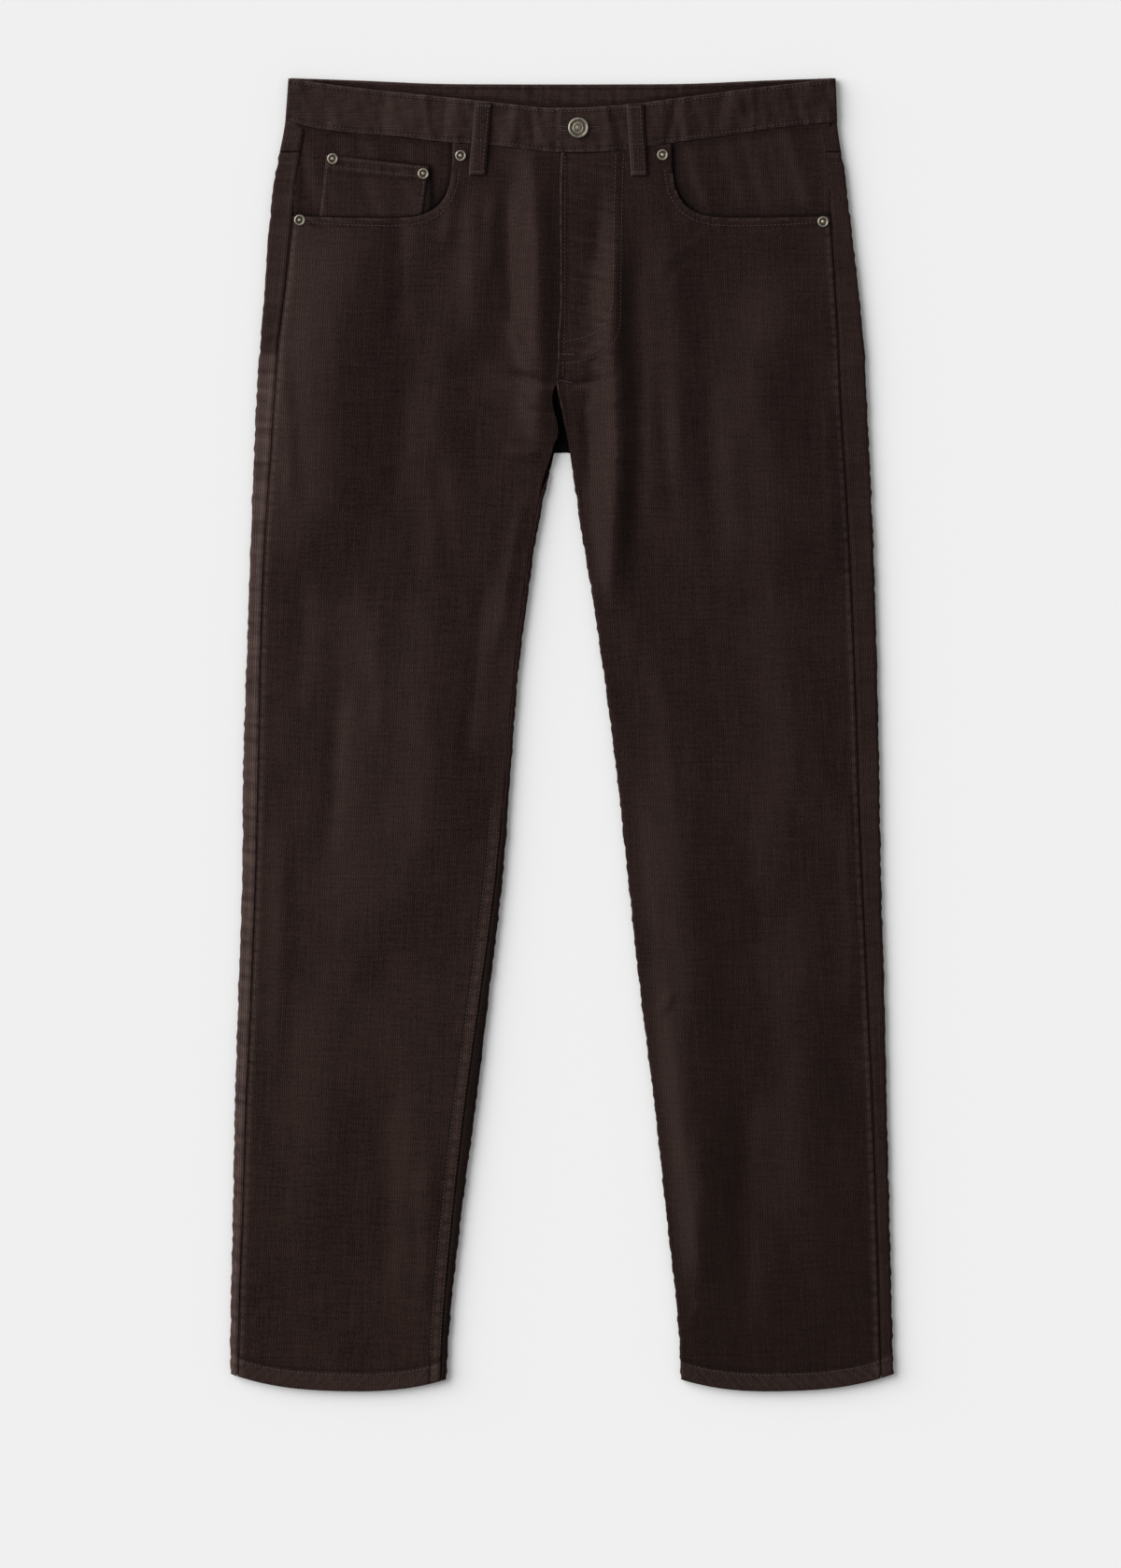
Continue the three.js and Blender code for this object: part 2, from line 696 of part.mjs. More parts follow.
function backLoop(loop) {
  const shape = new THREE.Shape();
  const half = loopWidth / 2;
  shape.moveTo(loop.x - half, loop.bottom);
  shape.lineTo(loop.x + half, loop.bottom);
  shape.lineTo(loop.x + half, loop.top);
  shape.lineTo(loop.x - half, loop.top);
  shape.closePath();
  return plate(shape, 0, trimCloth);
}

// Rivet: a rounded collar round a sunk ring with a small nub in the middle
function rivet() {
  const r = rivetRadius;
  const h = rivetHeight;
  const profile = [
    [0, 0],
    [r * 0.92, 0],
    [r, h * 0.3],
    [r * 0.88, h * 0.85],
    [r * 0.7, h],
    [r * 0.5, h * 0.45],
    [r * 0.36, h * 0.5],
    [r * 0.26, h],
    [0, h * 1.1],
  ];
  return turned(profile, roundSides);
}

// Tack button: a shallow cap with a raised rim and a domed middle
function tackButton() {
  const r = button.radius;
  const h = button.height;
  const profile = [
    [0, 0],
    [r * 0.86, 0],
    [r, h * 0.35],
    [r * 0.97, h * 0.72],
    [r * 0.86, h * 0.9],
    [r * 0.7, h * 0.74],
    [r * 0.42, h * 0.84],
    [0, h],
  ];
  return turned(profile, 24);
}

// A lathe shape stood up along +Z
function turned(profile, segments) {
  const points = profile.map(([radius, height]) => new THREE.Vector2(radius, height));
  const geometry = new THREE.LatheGeometry(points, segments);
  geometry.rotateX(Math.PI / 2);
  geometry.deleteAttribute("normal");
  geometry.deleteAttribute("uv");
  return faceOut(mergeVertices(geometry, 1e-4));
}

// Materials
function corduroy() {
  return new THREE.MeshStandardMaterial({ color: 0x2e211e, roughness: 0.95, metalness: 0 });
}

function antiqueBrass() {
  return new THREE.MeshStandardMaterial({ color: 0x7a7060, roughness: 0.4, metalness: 0.9 });
}

const trousers = new THREE.Group();

function add(name, geometry, material) {
  const mesh = new THREE.Mesh(geometry, material);
  mesh.name = name;
  trousers.add(mesh);
  return mesh;
}

for (const side of sides) {
  add(`front_${side.name}`, frontPanel(side), corduroy());
  add(`back_${side.name}`, backPanel(side), corduroy());
  add(`yoke_${side.name}`, yoke(side), corduroy());
  add(`pocket_facing_${side.name}`, facing(side), corduroy());
  add(`back_pocket_${side.name}`, backPocketPatch(side), corduroy());
}
add("waistband", waistband(), corduroy());
add("coin_pocket", coinPocket(), corduroy());
for (const loop of frontLoops) add(loop.name, frontLoop(loop), corduroy());
for (const loop of backLoops) add(loop.name, backLoop(loop), corduroy());
for (const place of rivets) add(place.name, rivet(), antiqueBrass()).position.set(place.x, place.y, place.level);
const buttonLevel = frontTop - cloth + bandCloth + lapRise + seamGap;
add("tack_button", tackButton(), antiqueBrass()).position.set(button.x, button.y, buttonLevel);

// The origin is under the middle of the whole object, on the surface that it lies on.
const extent = new THREE.Box3().setFromObject(trousers);
const middle = extent.getCenter(new THREE.Vector3());
trousers.position.set(-middle.x, -middle.y, -extent.min.z);

export default trousers;
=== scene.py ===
import math
import bmesh
import bpy
import numpy as np
from mathutils import Matrix, Vector
from mathutils.bvhtree import BVHTree


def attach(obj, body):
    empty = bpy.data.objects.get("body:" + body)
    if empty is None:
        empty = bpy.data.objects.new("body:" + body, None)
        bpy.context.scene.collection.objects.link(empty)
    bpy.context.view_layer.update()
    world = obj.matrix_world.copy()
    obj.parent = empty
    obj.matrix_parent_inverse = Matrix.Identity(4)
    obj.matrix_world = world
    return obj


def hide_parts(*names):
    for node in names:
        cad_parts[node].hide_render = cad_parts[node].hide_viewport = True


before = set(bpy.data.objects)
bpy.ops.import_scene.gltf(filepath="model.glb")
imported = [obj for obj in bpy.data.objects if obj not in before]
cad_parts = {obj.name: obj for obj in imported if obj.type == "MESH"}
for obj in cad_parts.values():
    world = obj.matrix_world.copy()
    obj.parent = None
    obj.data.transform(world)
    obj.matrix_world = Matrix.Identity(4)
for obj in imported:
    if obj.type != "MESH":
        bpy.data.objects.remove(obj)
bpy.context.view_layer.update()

mm = 0.001
frameShift = (0.178, -0.357)  # the outline's own centre to the frame's origin, in mm

# Corduroy trousers, buttoned and laid flat with the front up. Sizes are in mm and become metres in place().
# Right and left are the wearer's, so the right leg lies at -X.

# Cloth levels, the same as the solids'
level = {"cloth": 1.6, "band": 2.4, "gap": 0.3, "frontTop": 6.6, "hipLift": 1.5,
         "hipLiftStart": 250, "hipLiftEnd": 285, "crotch": 236, "curlRun": 40, "partRun": 25,
         "freeEdge": 1.5, "underStrip": 4}
hem = {"height": 16, "extra": 0.7, "outer": -533.5, "inner": -538.5, "frontSag": 12, "backSag": 7}
fly = {"height": 1.9, "width": 44, "slope": 9, "bottom": 330, "fade": 30}
yokeSeam = {"side": 486.7, "centre": 445, "sideX": 215}

# Outer edges: y, right edge, left edge, and how wide the back folds over onto the front on each side
outerEdges = [
    (549, 228.2, 228.2, 15, 12.5), (512, 231.3, 229.7, 16.5, 12.7), (466, 239.9, 236.7, 18.4, 14.8),
    (419, 245.3, 242.2, 19, 16.8), (372, 248.4, 247.7, 17.2, 19.2), (325, 252.3, 252.3, 15.3, 21),
    (278, 255.5, 254.7, 14.8, 21.6), (232, 257.4, 257, 13.8, 21.2), (161, 260.1, 260.1, 11.6, 20),
    (68, 263.3, 263, 11.4, 18.8), (-26, 266.4, 265, 12.5, 17.6), (-119, 267.2, 266.6, 11.2, 15.8),
    (-213, 270.3, 269.3, 10.6, 14), (-306, 273.2, 271.3, 9.4, 11.8), (-400, 275, 273.6, 8, 10.8),
    (-494, 277, 275.9, 6.8, 10.4), (-550, 277.3, 277.3, 6, 10.6),
]
# Inner edges: y, right leg, left leg, and how wide the right back folds over
innerEdges = [
    (236, 6.5, 6.6, 3.6), (208, 12.9, 10.5, 3.6), (161, 22.2, 17.6, 3.6), (115, 28.5, 25.4, 3.6),
    (68, 34.7, 32.4, 3.6), (-26, 42.5, 44.9, 3.6), (-119, 49.5, 55, 5), (-213, 60.5, 65.1, 6.4),
    (-306, 71.4, 76.8, 8.4), (-400, 83.9, 87, 6.6), (-494, 94, 97.1, 4.8), (-550, 97.4, 100, 3.8),
]
# Centre edges of the fronts above the crotch: y, right front, left front
centreEdges = [
    (490, -8, -0.4), (462, -8, -1.6), (395, -8, -1.4), (346, -8, -2.2), (334, -7, -3.4), (310, -4.5, -3.7),
    (300, -2, -4.6), (292, 5, -4.4), (284, 8, -3), (271, 6.6, 0), (259, 3.5, 2.2), (250, 3.2, 4.2),
    (243, 6.2, 5.4), (236, 8.2, 6.6),
]
# Front half of the waistband: x, top, bottom
bandFront = [
    (-228, 548.3, 513), (-214, 546.2, 508.6), (-178, 541.3, 503), (-139, 537, 500), (-103, 533.4, 495.6),
    (-60, 528.8, 492.6), (-5, 523.6, 486.6), (54, 526.5, 488.6), (85, 530.4, 493.4), (134, 537, 500),
    (181, 542.9, 507), (228, 548.5, 512),
]
# Top edge of the back half: distance from the centre back, top
bandBack = [(0, 543.7), (50, 543.8), (107, 544.3), (166, 546.8), (228, 549)]


# A smooth reader for a table whose first column is the place
def reader(rows):
    table = np.array(sorted(rows), dtype=float)
    keys = table[:, 0]
    slopes = np.array([np.gradient(table[:, c], keys) for c in range(table.shape[1])]).T

    def read(column, place):
        held = np.clip(place, keys[0], keys[-1])
        i = np.clip(np.searchsorted(keys, held, side="right") - 1, 0, len(keys) - 2)
        step = keys[i + 1] - keys[i]
        s = (held - keys[i]) / step
        start = table[i, column] * (2 * s**3 - 3 * s**2 + 1) + table[i + 1, column] * (3 * s**2 - 2 * s**3)
        bend = slopes[i, column] * (s**3 - 2 * s**2 + s) + slopes[i + 1, column] * (s**3 - s**2)
        return start + step * bend

    return read


readOuter = reader(outerEdges)
readInner = reader(innerEdges)
readCentre = reader(centreEdges)
readBandFront = reader(bandFront)
readBandBack = reader(bandBack)


def mix(a, b, share):
    return a + (b - a) * share


def ease(share):
    held = np.clip(share, 0, 1)
    return held * held * (3 - 2 * held)


# One soft hump: 1 at no distance, falling away over the width
def bell(away, width):
    return np.exp(-((away / width) ** 2))


# Rows by columns of even shares: down the rows and across the columns
def evenShares(rows, columns):
    down = np.linspace(0, 1, rows + 1)[:, None] * np.ones((1, columns + 1))
    return down, np.ones((rows + 1, 1)) * np.linspace(0, 1, columns + 1)[None, :]


# A soft random wave along a line, made of a few sines so that it is the same each run
def unevenWave(along, pitch, seed):
    wave = 0
    for k, (stretch, size) in enumerate([(1, 1), (1.37, 0.7), (0.61, 0.8), (2.3, 0.35)]):
        wave = wave + size * np.sin(2 * math.pi * along / (pitch * stretch) + seed * 2.1 + k * 1.7)
    return wave / 2.2


def backLevel(y):
    run = level["hipLiftEnd"] - level["hipLiftStart"]
    return level["hipLift"] * ease((y - level["hipLiftStart"]) / run)


def hemCurve(side, distance, frontShare):
    outer = readOuter(side["column"], -550)
    inner = readInner(side["column"], -550)
    share = np.clip((outer - distance) / (outer - inner), 0, 1)
    sag = mix(hem["backSag"], hem["frontSag"], frontShare)
    return mix(hem["outer"], hem["inner"], share) - sag * (1 - np.abs(2 * share - 1) ** 2.5)


def bandBottom(x):
    return readBandFront(2, x)


def backBandBottom(distance):
    return readBandBack(1, np.abs(distance)) - 37


def yokeLine(distance):
    return mix(yokeSeam["centre"], yokeSeam["side"], np.clip(distance / yokeSeam["sideX"], 0, 1))


sides = [
    {"name": "right", "column": 1, "strip": 3, "sign": -1},
    {"name": "left", "column": 2, "strip": 4, "sign": 1},
]


# Path that runs straight, turns by an angle about a radius, then runs straight again
def curl(length, radius, angle):
    turn = np.minimum(length / radius, angle)
    rest = np.maximum(length - radius * angle, 0)
    forward = radius * np.sin(turn) + rest * np.cos(angle)
    rise = radius * (1 - np.cos(turn)) + rest * np.sin(angle)
    return forward, rise, turn


def curlSize(y, top, tailLength):
    radius = (top - backLevel(y)) / 2
    share = ease((level["crotch"] - y) / level["curlRun"])
    angle = np.maximum(math.pi * share, 0.02)
    tail = tailLength * share**2 + level["freeEdge"] * (1 - share)
    notClosed = angle < math.pi - 1e-6
    room = np.where(notClosed, radius * (1 + np.cos(angle)) / np.maximum(np.sin(angle), 1e-6), tail)
    tail = np.maximum(np.minimum(tail, room), 0.3)
    early, _, _ = curl(radius * angle + tail, radius, angle)
    reach = np.where(angle < math.pi / 2, early, radius)
    return radius, angle, tail, reach


# Sections give distance from the centre line, height, how far round to the front, and the cloth's own width
def frontSection(side, y, u, top):
    outer = readOuter(side["column"], y) - readOuter(side["strip"], y) - 0.15
    part = ease((level["crotch"] - y) / level["partRun"])
    above = y >= level["crotch"]
    base = np.where(above, readCentre(side["column"], y), readInner(side["column"], y))
    if side["name"] == "right":
        base = base + np.where(above, 0, mix(1.7, readInner(3, y) + 0.3, part))
        distance = mix(outer, base, u)
        return distance, top + 0 * y, np.ones_like(y), distance
    radius, angle, tail, reach = curlSize(y, top, level["underStrip"])
    flatEnd = base + reach
    flatShare = 0.92
    onCurl = u > flatShare
    length = (radius * angle + tail) * np.clip((u - flatShare) / (1 - flatShare), 0, 1)
    forward, rise, turn = curl(length, radius, angle)
    flat = mix(outer, flatEnd, np.clip(u / flatShare, 0, 1))
    distance = np.where(onCurl, flatEnd - forward, flat)
    z = np.where(onCurl, top - rise, top)
    return distance, z, np.where(onCurl, 1 - turn / math.pi, 1.0), np.where(onCurl, flatEnd - length, flat)


def backSection(side, y, u, top):
    low = backLevel(y)
    radius = (top - low) / 2
    outer = readOuter(side["column"], y)
    strip = readOuter(side["strip"], y)
    below = y < level["crotch"]
    part = ease((level["crotch"] - y) / level["curlRun"])
    edge = readInner(side["column"], y)
    if side["name"] == "right":
        _, angle, tail, reach = curlSize(y, top, readInner(3, y) - radius)
        flatStart = np.where(below, edge, 0) + reach
        innerShare = 0.06
    else:
        flatStart = np.where(below, edge + ((6.6 + hem["extra"]) / 2 + level["underStrip"] + 0.3) * part, 0)
        innerShare = 0
    outerShare = 0.86
    flatEnd = outer - radius
    flat = mix(flatStart, flatEnd, np.clip((u - innerShare) / (outerShare - innerShare), 0, 1))
    distance, z, frontShare, across = flat, low + 0 * y, np.zeros_like(y), flat
    if innerShare:
        onInner = u < innerShare
        length = (radius * angle + tail) * np.clip((innerShare - u) / innerShare, 0, 1)
        forward, rise, turn = curl(length, radius, angle)
        distance = np.where(onInner, flatStart - forward, distance)
        z = np.where(onInner, low + rise, z)
        frontShare = np.where(onInner, turn / math.pi, frontShare)
        across = np.where(onInner, flatStart - length, across)
    onOuter = u > outerShare
    total = radius * math.pi + strip - radius - 0.15
    length = total * np.clip((u - outerShare) / (1 - outerShare), 0, 1)
    forward, rise, turn = curl(length, radius, math.pi)
    distance = np.where(onOuter, flatEnd + forward, distance)
    z = np.where(onOuter, low + rise, z)
    frontShare = np.where(onOuter, turn / math.pi, frontShare)
    return distance, z, frontShare, np.where(onOuter, flatEnd + length, across)


# The folded edges aren't quite straight: an outline that wanders where the cloth turns over
def edgeWander(y, frontShare, seed):
    turned = np.sin(math.pi * np.clip(frontShare, 0, 1))
    return turned * (0.5 * unevenWave(y, 10.5, seed) + 0.35 * unevenWave(y, 37, seed + 2))


# Main folds of the fronts: top x, top y, bottom x, bottom y, width, height
# The first fourteen are in the solids
frontFolds = [
    (-24, 510, -15, 215, 13, 4.4), (-74, 462, -70, 300, 13, 1.9), (-92, 425, -106, 60, 18, 1.4),
    (-180, 452, -192, 110, 44, 5.2), (44, 452, 46, 90, 12, 5.0), (62, 448, 64, 130, 8, -0.9),
    (92, 440, 104, 180, 14, 1.2), (178, 400, 182, 100, 38, 2.6), (-150, 190, -172, -240, 26, 1.4),
    (-104, 130, -124, -210, 34, 3.4), (102, 0, 118, -520, 30, 4.6), (190, 170, 200, -200, 24, 1.3),
    (-196, -190, -204, -470, 26, 1.6), (206, -130, 206, -470, 24, 1.8),
    (-47, 470, -43, 330, 6, -1.2), (20, 300, 22, 205, 6, -1.0), (-138, 452, -134, 330, 9, -1.3),
    (-232, 330, -226, 180, 7, 0.7), (118, 320, 128, 120, 11, -0.5), (-128, 330, -140, 180, 10, -0.8),
    (222, 300, 226, 120, 8, 0.7), (-186, 60, -196, -120, 9, -0.9), (152, -40, 162, -210, 12, -0.7),
    (-232, -60, -238, -300, 8, 0.8), (238, -30, 244, -260, 8, 0.6), (-142, -260, -150, -480, 14, -1.5),
    (150, -270, 154, -500, 12, -1.4), (-110, -330, -116, -500, 8, 0.9), (114, -320, 118, -470, 8, 0.7),
    (-58, 452, -60, 380, 5, 0.9), (-90, 470, -96, 400, 6, 0.8), (34, 470, 30, 380, 7, -0.6),
    (-104, 250, -92, 120, 8, -0.9), (-214, 160, -222, 20, 9, -0.7), (24, 225, 40, 110, 8, 1.1),
    (-30, 205, -52, 60, 8, 1.0), (84, 300, 92, 160, 7, -0.4), (-62, 150, -84, -40, 7, -0.8),
    (140, 260, 150, 130, 10, 0.4), (-154, 110, -150, -20, 9, 0.4), (78, 90, 96, -80, 8, 0.4),
]
# Slanting drag lines near the crotch, pockets and hems
dragLines = [
    (-60, 300, -12, 262, 5, 0.9), (-72, 276, -14, 246, 5, -0.8), (-50, 240, -16, 230, 4, 0.7),
    (62, 284, 14, 266, 5, 0.8), (74, 258, 14, 250, 4.5, -0.7), (58, 232, 20, 228, 4, 0.6),
    (-46, 302, 4, 291, 3.5, -1.9), (-2, 290, 52, 301, 3.5, -1.5), (-44, 350, -25, 298, 4, 1.1),
    (-34, 272, -2, 268, 3.5, -1.0), (40, 330, 16, 312, 4, 0.9),
    (-130, 424, -84, 398, 5, 0.3), (-108, 416, -74, 376, 5, -0.3), (128, 424, 88, 394, 5, 0.3),
    (112, 410, 82, 372, 5, -0.3), (-118, -470, -104, -498, 4, 0.3), (-240, -470, -262, -500, 4, 0.25),
    (118, -468, 104, -500, 4, 0.3), (238, -468, 262, -500, 4, 0.25), (-90, -150, -74, -172, 4, 0.5),
    (-128, -300, -92, -322, 4, 0.6), (-124, -372, -98, -396, 3.5, 0.6), (96, -210, 78, -236, 4, 0.5),
]


def foldHeight(x, y, rows):
    height = np.zeros_like(x)
    for topX, topY, bottomX, bottomY, width, size in rows:
        share = (topY - y) / (topY - bottomY)
        ends = ease(share / 0.25) * ease((1 - share) / 0.25)
        wander = width * 0.12 * np.sin(y / 31 + topX)
        away = (x - mix(topX, bottomX, share) - wander) / width
        height += size * ends * bell(away, 1)
    return height


def dragHeight(x, y):
    height = np.zeros_like(x)
    for startX, startY, endX, endY, width, size in dragLines:
        length = math.hypot(endX - startX, endY - startY)
        unitX, unitY = (endX - startX) / length, (endY - startY) / length
        along = ((x - startX) * unitX + (y - startY) * unitY) / length
        away = ((y - startY) * unitX - (x - startX) * unitY + 1.2 * np.sin(along * 5 + startX)) / width
        height += size * ease(along / 0.35) * ease((1 - along) / 0.35) * bell(away, 1)
    return height


def flyRise(x, y):
    across = ease((fly["width"] + fly["slope"] - x) / fly["slope"])
    return fly["height"] * across * ease((y - fly["bottom"] + fly["fade"]) / fly["fade"])


# Distance from a polyline in the plane of the front, for grooves and stitches
def farFrom(x, y, points):
    best = np.full_like(x, 1e9)
    for (ax, ay), (bx, by) in zip(points[:-1], points[1:]):
        length2 = (bx - ax) ** 2 + (by - ay) ** 2
        t = np.clip(((x - ax) * (bx - ax) + (y - ay) * (by - ay)) / length2, 0, 1)
        best = np.minimum(best, np.hypot(x - ax - t * (bx - ax), y - ay - t * (by - ay)))
    return best


def bezier(a, b, c, d, steps):
    points = []
    for k in range(steps + 1):
        t = k / steps
        w = ((1 - t) ** 3, 3 * t * (1 - t) ** 2, 3 * t * t * (1 - t), t**3)
        points.append(tuple(w[0] * a[i] + w[1] * b[i] + w[2] * c[i] + w[3] * d[i] for i in (0, 1)))
    return points


mouth = {"topX": 90.6, "straightEnd": 473, "bulge": (93.5, 450), "turn": (102, 433), "corner": (133, 432.3),
         "dip": (150, 430.5), "sideY": 434.6}


# The pocket mouth's edge for one side, moved outwards by a margin, from the band down and out to the side
def mouthEdge(sign, margin, outerX):
    start = (mouth["topX"] + 1.6 - margin, mouth["straightEnd"])
    bulge = (mouth["bulge"][0] - margin, mouth["bulge"][1] - margin / 2)
    turn = (mouth["turn"][0] - margin / 2, mouth["turn"][1] - margin)
    corner = (mouth["corner"][0], mouth["corner"][1] - margin)
    dip = (mouth["dip"][0], mouth["dip"][1] - margin)
    end = (outerX, mouth["sideY"] - margin)
    points = [(mouth["topX"] - margin, 520)] + bezier(start, bulge, turn, corner, 14)
    flatStart = tuple(mix(corner[i], dip[i], 2 / 3) for i in (0, 1))
    flatEnd = tuple(mix(end[i], dip[i], 2 / 3) for i in (0, 1))
    points += bezier(corner, flatStart, flatEnd, end, 8)[1:]
    return [(sign * x, y) for x, y in points]


# Puts an array of mm places into the frame, in metres
def place(x, y, z):
    return (x + frameShift[0]) * mm, (y + frameShift[1]) * mm, z * mm


print("stage: camera")

photo = {"width": 1200, "height": 1679, "mmPerPixel": 0.78, "centreX": 601.6, "centreY": 787, "lens": 135}


def makeCamera():
    data = bpy.data.cameras.new("photoView")
    data.lens = photo["lens"]
    distance = photo["lens"] / data.sensor_width * photo["height"] * photo["mmPerPixel"] * mm
    camera = bpy.data.objects.new("photoView", data)
    x = (photo["width"] / 2 - photo["centreX"]) * photo["mmPerPixel"]
    y = (photo["centreY"] - photo["height"] / 2) * photo["mmPerPixel"]
    camera.location = Vector(place(x, y, level["frontTop"])) + Vector((0, 0, distance))
    data.clip_end = 20
    bpy.context.scene.collection.objects.link(camera)
    bpy.context.scene.camera = camera


makeCamera()

print("stage: cloth helpers")


# Turns a finished bmesh into an object of the scene
def addPiece(name, bm):
    mesh = bpy.data.meshes.new(name)
    bm.to_mesh(mesh)
    bm.free()
    piece = bpy.data.objects.new(name, mesh)
    bpy.context.scene.collection.objects.link(piece)
    return piece


# Cloth from a grid: the place arrays are rows by columns, the cloth map is in mm across and along
def clothPiece(name, x, y, z, across, along, wearAndShading, thickness, outward):
    rows, columns = x.shape[0] - 1, x.shape[1] - 1
    bm = bmesh.new()
    bmesh.ops.create_grid(bm, x_segments=columns, y_segments=rows, size=0.5)
    bm.verts.ensure_lookup_table()
    low = min(v.co.x for v in bm.verts), min(v.co.y for v in bm.verts)
    high = max(v.co.x for v in bm.verts), max(v.co.y for v in bm.verts)
    clothMap = bm.loops.layers.uv.new("clothMap")
    # Per vertex: the cloth's wear together with its painted light and shade, read by the material
    wearAndLight = bm.verts.layers.float.new("wearAndShading")
    px, py, pz = place(x, y, z)
    spot = {}
    for v in bm.verts:
        c = round((v.co.x - low[0]) / (high[0] - low[0]) * columns)
        r = round((v.co.y - low[1]) / (high[1] - low[1]) * rows)
        spot[v.index] = (r, c)
        v.co = (px[r, c], py[r, c], pz[r, c])
        v[wearAndLight] = wearAndShading[r, c]
    for face in bm.faces:
        face.smooth = True
        for loop in face.loops:
            r, c = spot[loop.vert.index]
            loop[clothMap].uv = (across[r, c], along[r, c])
    bm.normal_update()
    facing = sum((f.normal.z if outward == "up" else -f.normal.z) * f.calc_area() for f in bm.faces)
    if facing < 0:
        bmesh.ops.reverse_faces(bm, faces=bm.faces)
    flatArea = sum(f.calc_area() for f in bm.faces)
    piece = addPiece(name, bm)
    wall = piece.modifiers.new("wall", "SOLIDIFY")
    wall.thickness = thickness * mm
    wall.offset = -1
    wall.use_even_offset = False
    return piece, flatArea


# Makes a piece's modifiers real and returns it
def settle(piece):
    graph = bpy.context.evaluated_depsgraph_get()
    mesh = bpy.data.meshes.new_from_object(piece.evaluated_get(graph), depsgraph=graph)
    old = piece.data
    piece.modifiers.clear()
    piece.data = mesh
    bpy.data.meshes.remove(old)
    return piece


def dress(piece, nodes, material):
    piece.data.materials.clear()
    piece.data.materials.append(material)
    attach(piece, "root")
    if nodes:
        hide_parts(*nodes)


def finishCloth(made, node, flat, *restsOn, areaShare=1):
    piece, area = made
    dress(piece, [node], corduroy)
    area = min(area * areaShare, flat[0] * flat[1])
    return piece


print("stage: materials")


class Nodes:
    def __init__(self, name):
        self.material = bpy.data.materials.new(name)
        self.material.use_nodes = True
        self.tree = self.material.node_tree
        self.tree.nodes.clear()
        self.shader = self.tree.nodes.new("ShaderNodeBsdfPrincipled")
        output = self.tree.nodes.new("ShaderNodeOutputMaterial")
        self.tree.links.new(self.shader.outputs[0], output.inputs["Surface"])

    def join(self, source, target):
        self.tree.links.new(source, target)

    def fill(self, socket, value):
        if hasattr(value, "is_output"):
            self.join(value, socket)
        else:
            socket.default_value = value

    def math(self, operation, a, b=0.0, clamp=False):
        node = self.tree.nodes.new("ShaderNodeMath")
        node.operation = operation
        node.use_clamp = clamp
        self.fill(node.inputs[0], a)
        self.fill(node.inputs[1], b)
        return node.outputs[0]

    def add(self, a, b):
        return self.math("ADD", a, b)

    def times(self, a, b, clamp=False):
        return self.math("MULTIPLY", a, b, clamp)

    def noise(self, vector, scale, detail=2.0, rough=0.5):
        node = self.tree.nodes.new("ShaderNodeTexNoise")
        self.join(vector, node.inputs["Vector"])
        node.inputs["Scale"].default_value = scale
        node.inputs["Detail"].default_value = detail
        node.inputs["Roughness"].default_value = rough
        return node.outputs["Fac"]

    def stretch(self, vector, scale):
        node = self.tree.nodes.new("ShaderNodeMapping")
        self.join(vector, node.inputs["Vector"])
        node.inputs["Scale"].default_value = scale
        return node.outputs["Vector"]

    def blend(self, factor, a, b):
        node = self.tree.nodes.new("ShaderNodeMix")
        node.data_type = "RGBA"
        self.fill(node.inputs["Factor"], factor)
        self.fill(node.inputs["A"], a)
        self.fill(node.inputs["B"], b)
        return node.outputs["Result"]

    def span(self, value, low, high):
        node = self.tree.nodes.new("ShaderNodeMapRange")
        self.join(value, node.inputs["Value"])
        node.inputs["From Min"].default_value = low
        node.inputs["From Max"].default_value = high
        return node.outputs["Result"]

    def bump(self, height, distance, strength=1.0):
        node = self.tree.nodes.new("ShaderNodeBump")
        self.join(height, node.inputs["Height"])
        node.inputs["Distance"].default_value = distance
        node.inputs["Strength"].default_value = strength
        self.join(node.outputs["Normal"], self.shader.inputs["Normal"])


# Colours and sizes of the corduroy, with its painted light: the painted shade colour, the painted falloff to
# the +X side and to the hems, and the light and shade painted from fold slopes
corduroyLook = {"walePitch": 1.85, "groove": (0.0062, 0.0032, 0.0028, 1), "pile": (0.0328, 0.0184, 0.0162, 1),
                "wearAndLight": (0.118, 0.080, 0.070, 1), "paintedShadeColour": (0.0012, 0.0008, 0.0008, 1),
                "lowPile": (0.0335, 0.0188, 0.0146, 1), "waleDepth": 0.0003, "paintedSideShade": 0.20,
                "lowShade": 0.24, "slopeShade": 1.15}
